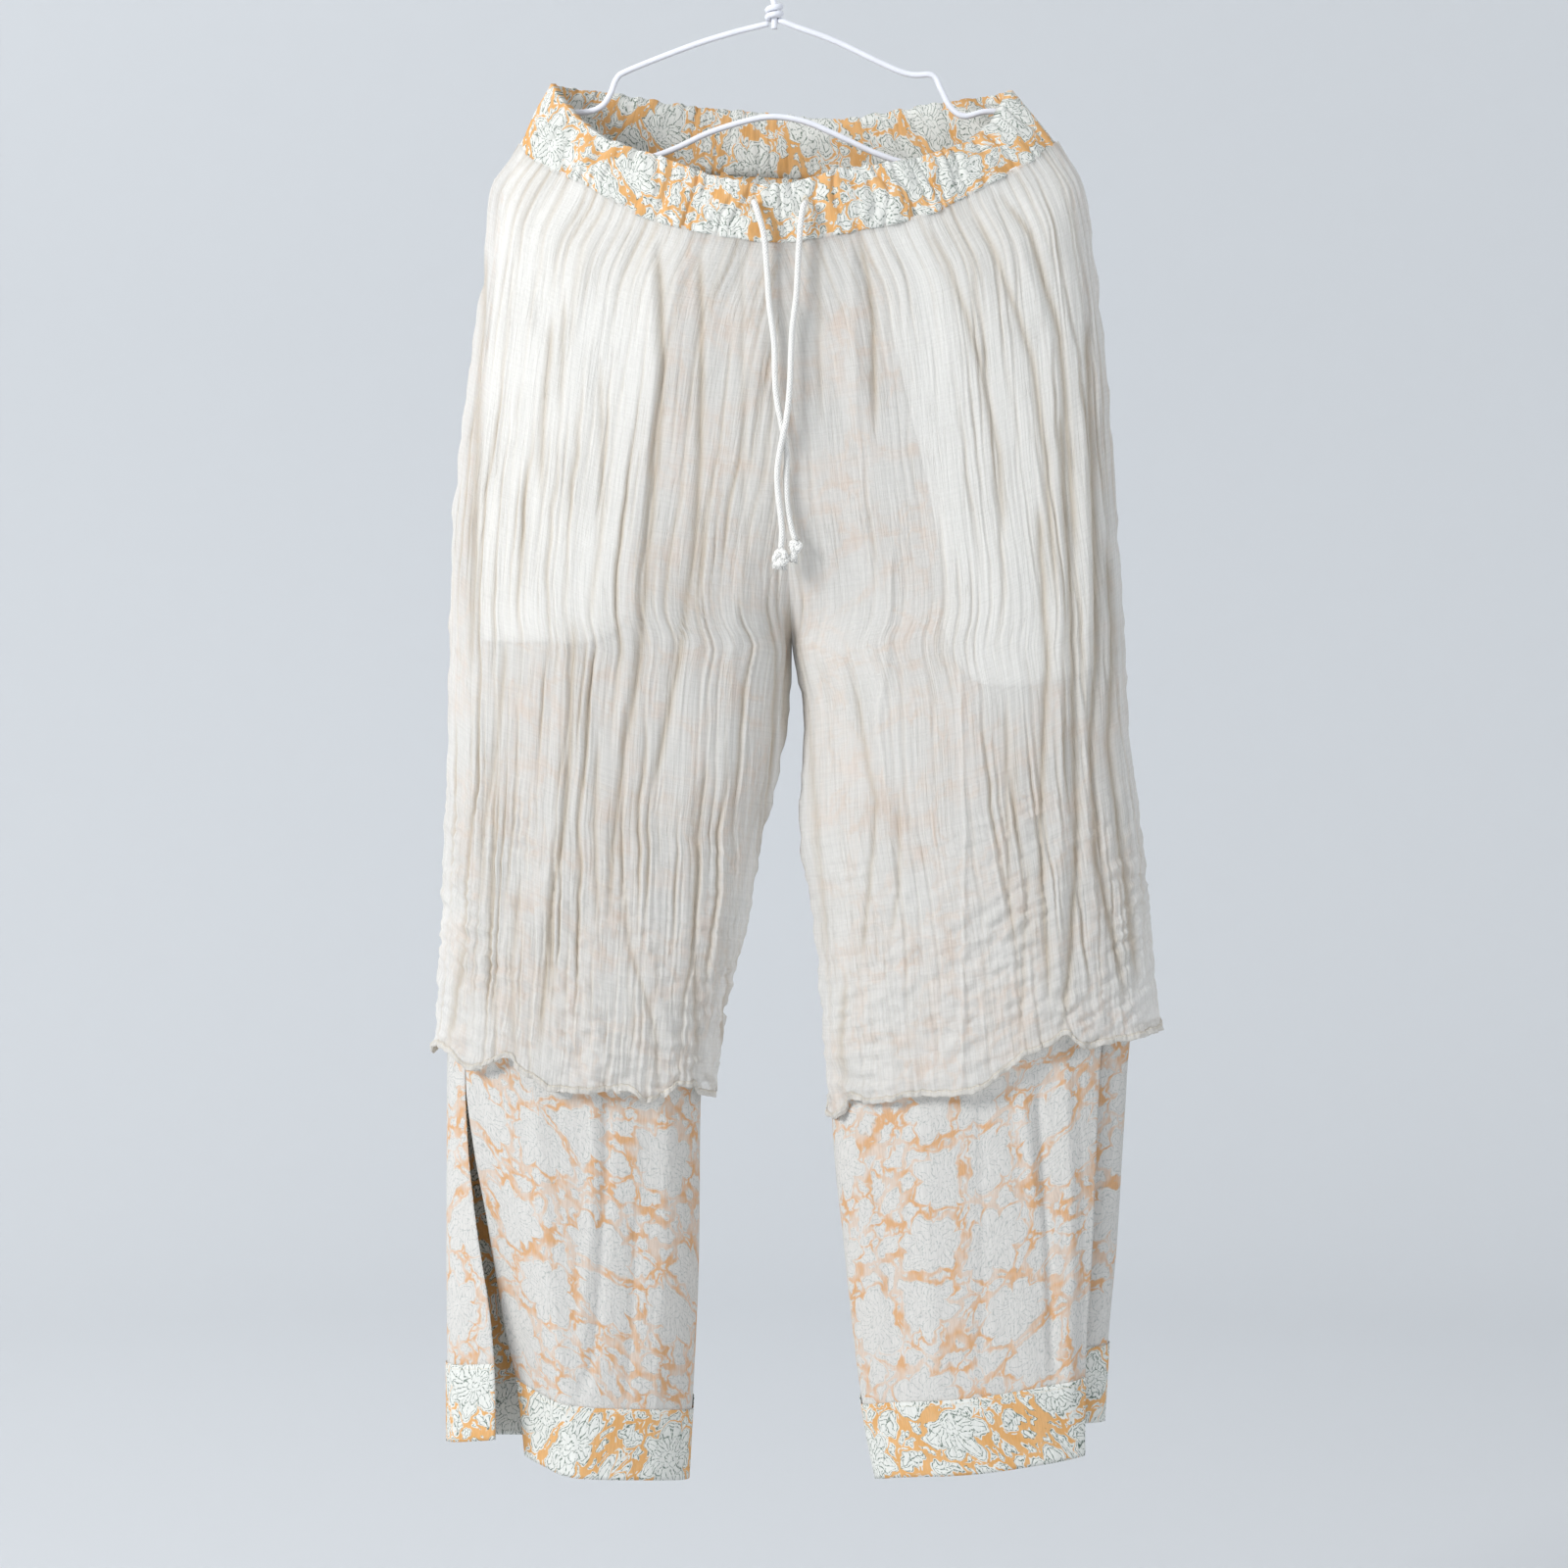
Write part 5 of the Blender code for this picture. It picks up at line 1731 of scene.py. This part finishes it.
@dataclass
class Hanger:
    """The hook wire, and the frame wire wound round its neck."""

    wire: float = 4.0
    hook_radius: float = 20.0
    hook_arc: tuple[float, float] = (218.0, -28.0)
    neck: Sequence[tuple[float, float]] = ((-10.0, -38.5), (-3.6, -44.5), (-0.4, -51.0), (0.0, -58.0))
    shank_end: float = -70.0
    twist_turns: float = 2.25
    twist_steps: int = 24
    twist_pitch: float = 4.6
    gap: float = 0.3
    frame: Sequence[tuple[float, float]] = (
        (-3.6, -66.4), (-28.0, -72.6), (-55.2, -81.2), (-96.0, -97.2), (-104.5, -103.0),
        (-108.6, -113.0), (-114.6, -121.4), (-124.6, -125.0), (-139.0, -125.4), (-150.6, -127.6),
        (-157.2, -133.6), (-157.4, -141.6), (-150.4, -149.4), (-134.0, -155.6), (-108.0, -158.2),
        (-86.0, -156.0), (-66.0, -149.4), (-42.3, -138.4), (-17.0, -130.6),
        (0.6, -128.2), (21.4, -131.8), (46.8, -142.8), (68.0, -152.6), (88.0, -159.0),
        (112.0, -162.0), (146.0, -160.0), (166.0, -153.4), (173.6, -145.0), (173.0, -137.2),
        (164.6, -129.8), (152.0, -125.4), (139.6, -124.8), (126.0, -127.8), (117.0, -122.0),
        (110.6, -110.0), (104.6, -100.6), (85.2, -98.8), (40.3, -78.0), (14.0, -68.4),
    )

    def build(self, wardrobe: Wardrobe) -> list[Object]:
        """Makes and dresses both wires."""
        start, end = self.hook_arc
        centre = self.wire / 2 - self.hook_radius
        crook = [
            (self.hook_radius * math.cos(a), 0, centre + self.hook_radius * math.sin(a))
            for a in np.radians(np.linspace(end, start, 24))
        ]
        neck = [(x, 0, z) for x, z in self.neck]
        hook_path = smooth_path([*crook, *neck, (0, 0, self.shank_end)], 1.5)
        hook = tube("hanger_hook_wire", hook_path, lambda _: self.wire / 2, 20)
        winding = self.wire + self.gap
        low = self.frame[-1][1] + self.wire
        twist = [
            (
                winding * math.cos(2 * math.pi * k / self.twist_steps),
                winding * math.sin(2 * math.pi * k / self.twist_steps),
                low + self.twist_pitch * k / self.twist_steps,
            )
            for k in range(int(self.twist_turns * self.twist_steps) + 1)
        ]
        bend = smooth_path([(x, 0, z) for x, z in self.frame], 3.0)
        frame = tube("hanger_frame_wire", smooth_path([*bend, *twist], 2.0), lambda _: self.wire / 2, 20)
        for piece, node in ((hook, "hanger_hook"), (frame, "hanger_frame")):
            piece.data.materials.append(wardrobe.wire)
            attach(piece, BODY)
            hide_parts(node)
        return [hook, frame]


@dataclass
class Studio:
    """Pale bowl of floor and wall far behind, soft light and the camera, all in metres."""

    floor: float = -1.32
    radius: float = 4.5
    corner: float = 1.6
    corner_steps: int = 12
    top: float = 3.4
    air: str = "#EFF1F4"
    air_strength: float = 0.75
    sensor: float = 36.0
    focal_length: float = 86.54
    camera_place: tuple[float, float, float] = (0.0065, -2.5, -0.5707)

    def build(self) -> None:
        """Makes the bowl, the lights and the camera."""
        profile = bmesh.new()
        flat_reach = self.radius - self.corner
        outline = [(0.0, self.floor), (flat_reach, self.floor)]
        for k in range(1, self.corner_steps + 1):
            angle = math.pi / 2 * k / self.corner_steps
            out, up = self.corner * math.sin(angle), self.corner * (1 - math.cos(angle))
            outline.append((flat_reach + out, self.floor + up))
        outline.append((self.radius, self.top))
        corners = [profile.verts.new((x, 0, z)) for x, z in outline]
        for a, b in zip(corners, corners[1:]):
            profile.edges.new((a, b))
        bmesh.ops.spin(
            profile, geom=profile.verts[:] + profile.edges[:], cent=(0, 0, 0), axis=(0, 0, 1),
            angle=2 * math.pi, steps=96, use_merge=True,
        )
        bmesh.ops.remove_doubles(profile, verts=profile.verts, dist=1e-6)
        bmesh.ops.recalc_face_normals(profile, faces=profile.faces)
        mesh = bpy.data.meshes.new("studio_bowl")
        profile.to_mesh(mesh)
        profile.free()
        mesh.shade_smooth()
        bowl = link(bpy.data.objects.new("studio_bowl", mesh))
        bowl.data.materials.append(PaintedWall().make())
        garment = (0.0, 0.0, -0.55)
        self.light("key", (-2.4, -2.1, 0.6), garment, 1.1, 90.0)
        self.light("fill", (2.8, -2.4, 0.1), garment, 2.4, 24.0)
        self.light("wall_left", (-2.0, 1.2, 2.4), (-1.0, 4.4, -0.4), 1.6, 44.0)
        self.light("wall_right", (2.2, 1.2, 2.4), (1.4, 4.4, -0.4), 1.6, 2.0)
        world = bpy.data.worlds.new("studio_air")
        bpy.context.scene.world = world
        world.use_nodes = True
        background = world.node_tree.nodes["Background"]
        background.inputs["Color"].default_value = linear(self.air)
        background.inputs["Strength"].default_value = self.air_strength
        bpy.context.scene.view_settings.view_transform = "Standard"
        lens = bpy.data.cameras.new("front_view")
        lens.sensor_width = self.sensor
        lens.lens = self.focal_length
        camera = link(bpy.data.objects.new("front_view", lens))
        camera.location = self.camera_place
        camera.rotation_euler = (math.pi / 2, 0, 0)
        bpy.context.scene.camera = camera

    def light(
        self,
        name: str,
        place: tuple[float, float, float],
        target: tuple[float, float, float],
        size: float,
        power: float,
    ) -> None:
        """Adds a soft square light.

        Args:
            name: its name.
            place: where it stands.
            target: what it looks at.
            size: length of its side, in metres.
            power: in watts.
        """
        lamp = bpy.data.lights.new(name, "AREA")
        lamp.size = size
        lamp.energy = power
        held = link(bpy.data.objects.new(name, lamp))
        held.location = place
        aim = Vector(target) - Vector(place)
        held.rotation_euler = aim.to_track_quat("-Z", "Y").to_euler()


@dataclass
class Trousers:
    """The garment, from its hems, slits, folds and routes."""

    gauze_hems: Mapping[tuple[Side, Face], Sequence[tuple[float, float]]]
    print_hems: Mapping[tuple[Side, Face], Sequence[tuple[float, float]]]
    slits: Mapping[Side, Sequence[Slit]]
    gauze_creases: Mapping[tuple[Side, Face], Sequence[Crease]]
    print_creases: Mapping[tuple[Side, Face], Sequence[Crease]]
    crinkles: Mapping[tuple[Side, Face], Crinkle]
    pieces: list[Object] = field(default_factory=list)

    def build(self, wardrobe: Wardrobe) -> None:
        """Makes every piece of the garment."""
        for face in Face:
            holes = BUTTONHOLES if face is Face.FRONT else {}
            self.pieces += Waistband(face, BAND_SEEDS[face], holes).build(wardrobe)
            columns, rows = GAUZE_GRIDS[face]
            for side in Side:
                gauze = GauzePanel(
                    side,
                    face,
                    SmoothTable(self.gauze_hems[side, face]),
                    self.gauze_creases[side, face],
                    self.crinkles[side, face],
                    columns,
                    rows,
                )
                self.pieces += gauze.build(wardrobe)
                leg = PrintPanel(
                    side,
                    face,
                    SmoothTable(self.print_hems[side, face]),
                    SmoothTable(self.slits[side]),
                    self.print_creases[side, face],
                    seed=self.crinkles[side, face].seed + 50,
                )
                self.pieces += leg.build(wardrobe)
                if face is Face.FRONT:
                    self.pieces += PocketBag(side, BAG_EDGES, first=0.035, last=0.5).build(wardrobe, leg)
        for side in Side:
            self.pieces += Drawstring(side, CORD_ROUTES[side], KNOTS[side]).build(wardrobe)


# Patterns of the waistband's gathers, and columns and rows of the gauze panels
BAND_SEEDS = {Face.FRONT: 5, Face.BACK: 9}
GAUZE_GRIDS = {Face.FRONT: (430, 150), Face.BACK: (330, 120)}

LEFT_FRONT = (Side.LEFT, Face.FRONT)
LEFT_BACK = (Side.LEFT, Face.BACK)
RIGHT_FRONT = (Side.RIGHT, Face.FRONT)
RIGHT_BACK = (Side.RIGHT, Face.BACK)

# Hem heights, by place across a panel: 0 at the side seam, 1 at the inner edge
GAUZE_HEMS = {
    LEFT_FRONT: (
        (0.00, -749.0), (0.06, -743.3), (0.137, -746.7), (0.214, -757.5), (0.327, -748.4),
        (0.354, -756.6), (0.411, -764.1), (0.445, -769.7), (0.505, -770.9), (0.579, -771.0),
        (0.649, -769.4), (0.685, -773.4), (0.713, -778.6), (0.757, -775.1), (0.806, -768.6),
        (0.861, -767.9), (0.883, -773.4), (1.0, -778.1),
    ),
    LEFT_BACK: (
        (0.00, -749.0), (0.12, -746.0), (0.25, -758.0), (0.38, -760.0), (0.50, -768.0),
        (0.64, -766.0), (0.75, -773.0), (0.88, -770.0), (1.00, -778.1),
    ),
    RIGHT_FRONT: (
        (0.0, -730.0), (0.01, -731.1), (0.103, -735.5), (0.18, -738.5), (0.298, -742.2),
        (0.326, -733.8), (0.375, -741.2), (0.433, -746.8), (0.466, -753.2), (0.495, -758.2),
        (0.554, -769.7), (0.615, -773.0), (0.716, -774.1), (0.832, -779.6), (0.876, -775.7),
        (0.948, -791.1), (1.0, -790.0),
    ),
    RIGHT_BACK: (
        (0.00, -730.0), (0.12, -738.0), (0.25, -741.0), (0.40, -752.0), (0.55, -757.0),
        (0.70, -770.0), (0.84, -772.0), (1.00, -790.0),
    ),
}
PRINT_HEMS = {
    LEFT_FRONT: ((0.30, -1006), (0.40, -1016), (0.50, -1022), (0.80, -1026), (1.00, -1030)),
    LEFT_BACK: ((-0.30, -998), (0.00, -1005), (0.50, -1012), (1.00, -1030)),
    RIGHT_FRONT: ((0.15, -1010), (0.30, -1014), (0.55, -1020), (0.80, -1024), (1.00, -1030)),
    RIGHT_BACK: ((0.00, -991), (0.25, -1000), (0.60, -1014), (1.00, -1030)),
}
SLITS = {
    Side.LEFT: (
        Slit(-105, 0.000, 0.000, 0, 0), Slit(-320, 0.050, 0.050, 0, 0),
        Slit(-560, 0.120, 0.120, 0, 0), Slit(-700, 0.138, 0.138, 0, 0),
        Slit(-764, 0.143, 0.140, 0, 0), Slit(-806, 0.172, 0.152, 3, 0),
        Slit(-855, 0.222, 0.184, 9, 0), Slit(-928, 0.285, 0.247, 17, 0),
        Slit(-966, 0.330, 0.263, 21, 0), Slit(-1035, 0.375, 0.270, 26, 0),
    ),
    Side.RIGHT: (
        Slit(-105, 0.000, 0.000, 0, 0), Slit(-320, 0.050, 0.050, 0, 0),
        Slit(-560, 0.130, 0.130, 0, 0), Slit(-650, 0.148, 0.148, 0, 0),
        Slit(-700, 0.150, 0.145, 0, 2), Slit(-742, 0.150, 0.148, 0, 5),
        Slit(-800, 0.150, 0.165, 0, 7), Slit(-910, 0.155, 0.175, 0, 9),
        Slit(-1035, 0.165, 0.190, 0, 10),
    ),
}
# Long creases and ridges of the gauze, each down its line
GAUZE_CREASES = {
    LEFT_FRONT: (
        Crease(
            ((-74.9, -224.1), (-71.7, -303.6), (-76.2, -360.8), (-82.5, -430.8), (-87.6, -494.4), (-95.3, -545.3)),
            3.2, -2.6,
        ),
        Crease(
            ((-80, -220.9), (-77.5, -303.6), (-82.5, -360.8), (-88.9, -430.8), (-94, -494.4), (-100.3, -545.3)),
            6.0, 2.6,
        ),
        Crease(
            (
                (-47.6, -228.5), (-46.9, -303.6), (-48.2, -367.2), (-50.7, -411.7),
                (-58.4, -468.9), (-67.3, -519.8), (-77.5, -570.7),
            ),
            3.0, -2.2,
        ),
        Crease(((-63.5, -226), (-63.5, -303.6), (-64.7, -348.1)), 5.0, 1.6),
        Crease(((-144.9, -268.6), (-151.2, -335.4), (-151.2, -379.9)), 2.6, -1.8),
        Crease(((-136.6, -252.7), (-139.1, -329)), 2.4, -1.4),
        Crease(((-113.1, -300.4), (-111.2, -399), (-120.7, -468.9)), 2.6, -1.4),
        Crease(((-190.7, -220.9), (-194.5, -329), (-198.9, -494.4)), 3.0, -1.8),
        Crease(((-184.9, -220.9), (-200.8, -418.1)), 3.0, 1.5),
        Crease(((-20.8, -224.1), (-20.2, -271.8), (-18.9, -399)), 3.0, -1.2),
        Crease(((-174.8, -478.5), (-181.1, -545.3), (-189.4, -596.1), (-190.7, -640.7)), 2.6, -1.8),
        Crease(((-130.2, -468.9), (-133.4, -554.8), (-136.6, -596.1), (-146.1, -659.7), (-152.5, -736.1)), 2.8, -2.2),
        Crease(((-135.3, -468.9), (-138.5, -554.8), (-141.7, -596.1), (-151.2, -659.7)), 4.0, 1.6),
        Crease(((-95.3, -523), (-100.3, -577.1), (-104.8, -615.2), (-106.7, -653.4)), 2.6, -2.0),
        Crease(((-114.3, -545.3), (-116.2, -596.1), (-114.3, -659.7)), 2.4, -1.8),
        Crease(((-97.8, -570.7), (-99.7, -615.2), (-94.6, -672.5), (-77.5, -729.7), (-74.3, -771)), 2.6, -1.5),
        Crease(((-85.7, -608.9), (-83.8, -672.5), (-67.3, -736.1), (-63.5, -767.9)), 4.5, 1.2),
        Crease(((-18.9, -418.1), (-25.3, -468.9), (-31.7, -545.3), (-34.8, -640.7), (-43.1, -704.3)), 4.0, 2.0),
        Crease(((-44.4, -558), (-49.5, -608.9), (-52, -672.5), (-49.5, -748.8)), 2.6, -1.8),
        Crease(((-165.2, -634.3), (-170.3, -685.2), (-169, -748.8)), 2.6, -1.6),
        Crease(((-203.4, -672.5), (-208.5, -710.6), (-212.9, -742.4)), 3.0, -2.0),
        Crease(((10.3, -449.9), (11, -488), (6.5, -545.3)), 3.5, -2.0),
    ),
    RIGHT_FRONT: (
        Crease(((55.5, -217.1), (60.6, -240), (65, -271.8), (65.6, -335.4)), 2.8, -2.4),
        Crease(((59.9, -218.4), (73.3, -228.5), (86, -236.8)), 3.5, 1.6),
        Crease(((49.7, -220.9), (52.3, -271.8), (53.6, -329)), 4.0, 1.6),
        Crease(((101.9, -209.5), (114.6, -233.6), (133.7, -290.9), (146.4, -354.5), (149.6, -405.3)), 3.0, -1.8),
        Crease(((130.5, -196.7), (143.2, -220.9), (168.7, -290.9), (178.2, -360.8), (183.3, -443.5)), 3.0, -2.0),
        Crease(((149.6, -187.8), (168.7, -211.4), (187.8, -278.1), (194.1, -360.8), (197.3, -418.1)), 3.0, -2.2),
        Crease(((159.1, -214.5), (179.5, -278.1), (186.5, -360.8)), 4.0, 1.8),
        Crease(((28.8, -220.9), (29.4, -271.8), (30.7, -329)), 3.0, -1.2),
        Crease(((76.5, -418.1), (74.6, -481.7), (68.2, -529.4), (73.3, -570.7), (76.5, -608.9)), 1.8, 1.6),
        Crease(((52.3, -507.1), (60.6, -554.8), (66.9, -583.4), (61.8, -640.7), (57.4, -685.2)), 2.4, -1.7),
        Crease(((81.5, -583.4), (80.9, -640.7), (76.5, -672.5)), 2.4, -1.5),
        Crease(((121, -500.7), (124.2, -608.9), (122.3, -758.3)), 1.8, 1.5),
        Crease(((150.9, -519.8), (152.8, -659.7)), 2.4, -1.6),
        Crease(((173.1, -392.6), (178.2, -497.6), (175, -545.3), (173.1, -596.1), (178.2, -704.3)), 2.8, -2.2),
        Crease(((183.3, -392.6), (187.1, -497.6), (185.9, -596.1), (184.6, -697.9)), 4.2, 2.0),
        Crease(
            ((187.8, -329), (194.1, -443.5), (195.4, -513.5), (197.9, -608.9), (192.2, -691.5), (188.4, -726.5)),
            3.0, -3.0,
        ),
        Crease(((202.4, -329), (204.9, -443.5), (203.7, -519.8), (204.9, -608.9), (210, -666.1)), 4.0, 2.2),
        Crease(
            (
                (206.8, -271.8), (211.3, -418.1), (211.3, -481.7), (206.8, -545.3),
                (210.7, -621.6), (222.7, -672.5), (229.1, -707.4),
            ),
            3.0, -2.8,
        ),
        Crease(((219.6, -418.1), (222.7, -468.9), (219.6, -545.3), (229.1, -621.6), (238.6, -697.9)), 3.0, -2.2),
        Crease(((165.5, -621.6), (163, -672.5), (160.4, -736.1)), 2.4, -1.5),
        Crease(((45.9, -697.9), (43.4, -736.1), (45.9, -767.9)), 2.8, -1.8),
        Crease(((14.1, -468.9), (20.5, -519.8), (26.9, -596.1), (33.2, -685.2)), 3.5, -1.4),
    ),
    LEFT_BACK: (
        Crease(((-74.9, -182.7), (-77.5, -329), (-88.9, -468.9), (-95.3, -570.7)), 3.4, -2.4),
        Crease(((-44.4, -182.7), (-47.6, -316.3), (-53.9, -443.5)), 3.0, -1.8),
        Crease(((-120.7, -189.1), (-127.1, -329), (-133.4, -507.1), (-136.6, -685.2)), 3.2, -2.2),
        Crease(((-113.1, -208.2), (-119.4, -348.1), (-127.1, -507.1)), 5.0, 2.0),
        Crease(((-158.9, -201.8), (-171.6, -379.9), (-181.1, -583.4)), 3.0, -1.8),
        Crease(((-95.3, -507.1), (-90.2, -634.3), (-79.4, -748.8)), 3.0, -2.0),
        Crease(((-57.1, -468.9), (-63.5, -583.4), (-57.1, -723.3)), 4.5, 1.8),
        Crease(((-18.9, -214.5), (-18.9, -392.6)), 3.0, -1.3),
        Crease(((-184.3, -507.1), (-193.8, -697.9)), 3.0, 1.6),
    ),
    RIGHT_BACK: (
        Crease(((89.2, -182.7), (95.5, -329), (100.6, -468.9), (101.9, -583.4)), 3.4, -2.4),
        Crease(((57.4, -182.7), (59.9, -303.6), (58.7, -418.1)), 3.0, -1.8),
        Crease(((133.7, -189.1), (152.8, -329), (159.1, -507.1), (160.4, -685.2)), 3.2, -2.2),
        Crease(((124.2, -208.2), (141.3, -348.1), (147.7, -507.1)), 5.0, 2.0),
        Crease(((171.9, -201.8), (190.9, -379.9), (203.7, -583.4)), 3.0, -2.2),
        Crease(((73.3, -507.1), (68.8, -634.3), (63.7, -748.8)), 3.0, -1.8),
        Crease(((114.6, -468.9), (117.8, -583.4), (111.4, -723.3)), 4.5, 1.6),
        Crease(((30.7, -214.5), (30.7, -367.2)), 3.0, -1.3),
        Crease(((216.4, -468.9), (229.1, -697.9)), 3.0, 1.8),
    ),
}
# The same for the printed legs
PRINT_CREASES = {
    LEFT_FRONT: (
        Crease(((-107.9, -752.8), (-109.2, -826.3), (-113, -890.2), (-116.8, -941.3), (-127.7, -972)), 3.2, -1.5),
        Crease(((-116.8, -752.8), (-118.1, -826.3), (-121.9, -890.2), (-126.4, -941.3)), 4.5, 1.4),
        Crease(((-68.9, -775.2), (-72.7, -890.2), (-77.8, -973.3)), 9.0, 1.6),
        Crease(((-156.4, -775.2), (-146.9, -864.6), (-139.2, -954.1)), 8.0, 1.6),
        Crease(((-89.4, -851.9), (-91.9, -915.8), (-95.7, -970.1)), 4.0, -1.4),
    ),
    RIGHT_FRONT: (
        Crease(((172.6, -765.6), (176.5, -826.3), (180.3, -890.2), (182.2, -954.1)), 3.2, -2.4),
        Crease(((189.3, -746.4), (193.1, -826.3), (194.4, -890.2), (191.8, -973.3)), 7.0, 2.8),
        Crease(((159.9, -762.4), (164.3, -794.4), (170.1, -845.5)), 4.0, 1.8),
        Crease(((96, -781.6), (101.1, -877.4), (105.5, -966.9)), 9.0, 1.4),
        Crease(((60.8, -794.4), (73.6, -890.2), (81.9, -973.3)), 5.0, -1.6),
        Crease(((134.3, -775.2), (136.9, -864.6), (135.6, -954.1)), 5.0, -1.2),
    ),
    LEFT_BACK: (
        Crease(((-121.3, -730.5), (-127.7, -858.2), (-129, -966.9)), 6.0, -2.6),
        Crease(((-172.4, -730.5), (-175, -890.2)), 7.0, 2.2),
        Crease(((-76.6, -749.6), (-83, -890.2)), 8.0, 1.8),
    ),
    RIGHT_BACK: (
        Crease(((127.9, -730.5), (124.7, -858.2), (121.5, -966.9)), 6.0, 2.4),
        Crease(((179, -730.5), (180.3, -890.2)), 6.0, -2.2),
        Crease(((83.2, -762.4), (89.6, -890.2)), 7.0, -1.8),
    ),
}
CRINKLES = {
    LEFT_FRONT: Crinkle(11, ((0.0, 0.8), (120.0, 1.1), (380.0, 1.0), (560.0, 0.45))),
    RIGHT_FRONT: Crinkle(23, ((0.0, 0.6), (150.0, 0.9), (420.0, 0.9), (560.0, 0.45)), calm_from=110.0),
    LEFT_BACK: Crinkle(37),
    RIGHT_BACK: Crinkle(53),
}

# Edges of the pocket bags: inner edge by share down, bottom by share in, left then right
BAG_EDGES = SmoothTable(
    (
        (0.0, 0.69, 0.374, 0.71, 0.396),
        (0.3, 0.63, 0.368, 0.64, 0.395),
        (0.6, 0.57, 0.357, 0.56, 0.388),
        (0.8, 0.53, 0.342, 0.52, 0.378),
        (1.0, 0.47, 0.318, 0.46, 0.356),
    )
)

# Drawstring ends, from the buttonholes down: across, out and up
CORD_ROUTES = {
    Side.LEFT: (
        (-13.2, -54.4, -193.0), (-12.8, -56.2, -193.6), (-10.6, -58.8, -200.0), (-6.4, -58.2, -216.0),
        (-4.3, -57.6, -240.0), (-3.0, -57.8, -260.0), (0.1, -58.2, -285.0),
        (1.1, -58.6, -316.0), (5.0, -58.8, -338.0), (8.3, -58.9, -358.0),
        (8.0, -59.0, -371.0), (8.6, -59.2, -389.0), (11.0, -59.6, -404.0), (13.8, -60.0, -413.0),
    ),
    Side.RIGHT: (
        (20.5, -54.4, -193.5), (20.1, -56.2, -194.0), (18.2, -58.8, -200.5), (16.2, -58.6, -221.0),
        (14.5, -58.4, -253.0), (11.7, -59.0, -278.0), (10.3, -60.8, -312.0),
        (8.0, -63.4, -335.0), (4.6, -63.6, -351.0), (2.2, -62.6, -367.0),
        (2.4, -61.6, -380.0), (4.2, -61.6, -396.0), (5.2, -62.0, -408.0), (4.4, -62.2, -419.0),
    ),
}

# Middle of each buttonhole in the front of the waistband, across and up
BUTTONHOLES = {Side.LEFT: (-13.2, -193.5), Side.RIGHT: (20.5, -194.0)}

KNOTS = {
    Side.LEFT: Knot(
        drop=4.0, loop=1.1, tilt=0.5, tail=((0.0, 3.5), (-0.8, 7.5), (-1.8, 12.0)), flare=1.55, fray=3.4
    ),
    Side.RIGHT: Knot(
        drop=5.2, loop=1.5, tilt=-0.4, tail=((0.0, 4.5), (-0.6, 8.0), (-1.0, 11.0)), flare=2.3, fray=3.0
    ),
}


def main() -> None:
    """Builds the garment, its hanger and the studio."""
    logging.basicConfig(level=logging.INFO, format="%(message)s")
    wardrobe = Wardrobe(
        gauze=CrinkleGauze().make(),
        wrong_side=PrintedCotton("printed_cotton_wrong_side", face=False).make(),
        face=PrintedCotton("printed_cotton_face", face=True).make(),
        pocket=PocketCotton().make(),
        cord=BraidedCord().make(),
        thread=SewingThread().make(),
        wire=CoatedWire().make(),
    )
    trousers = Trousers(GAUZE_HEMS, PRINT_HEMS, SLITS, GAUZE_CREASES, PRINT_CREASES, CRINKLES)
    trousers.build(wardrobe)
    trousers.pieces += Hanger().build(wardrobe)
    Studio().build()
    for piece in trousers.pieces:
        LOG.info("%s: %d faces", piece.name, len(piece.data.polygons))


if __name__ == "__main__":
    main()
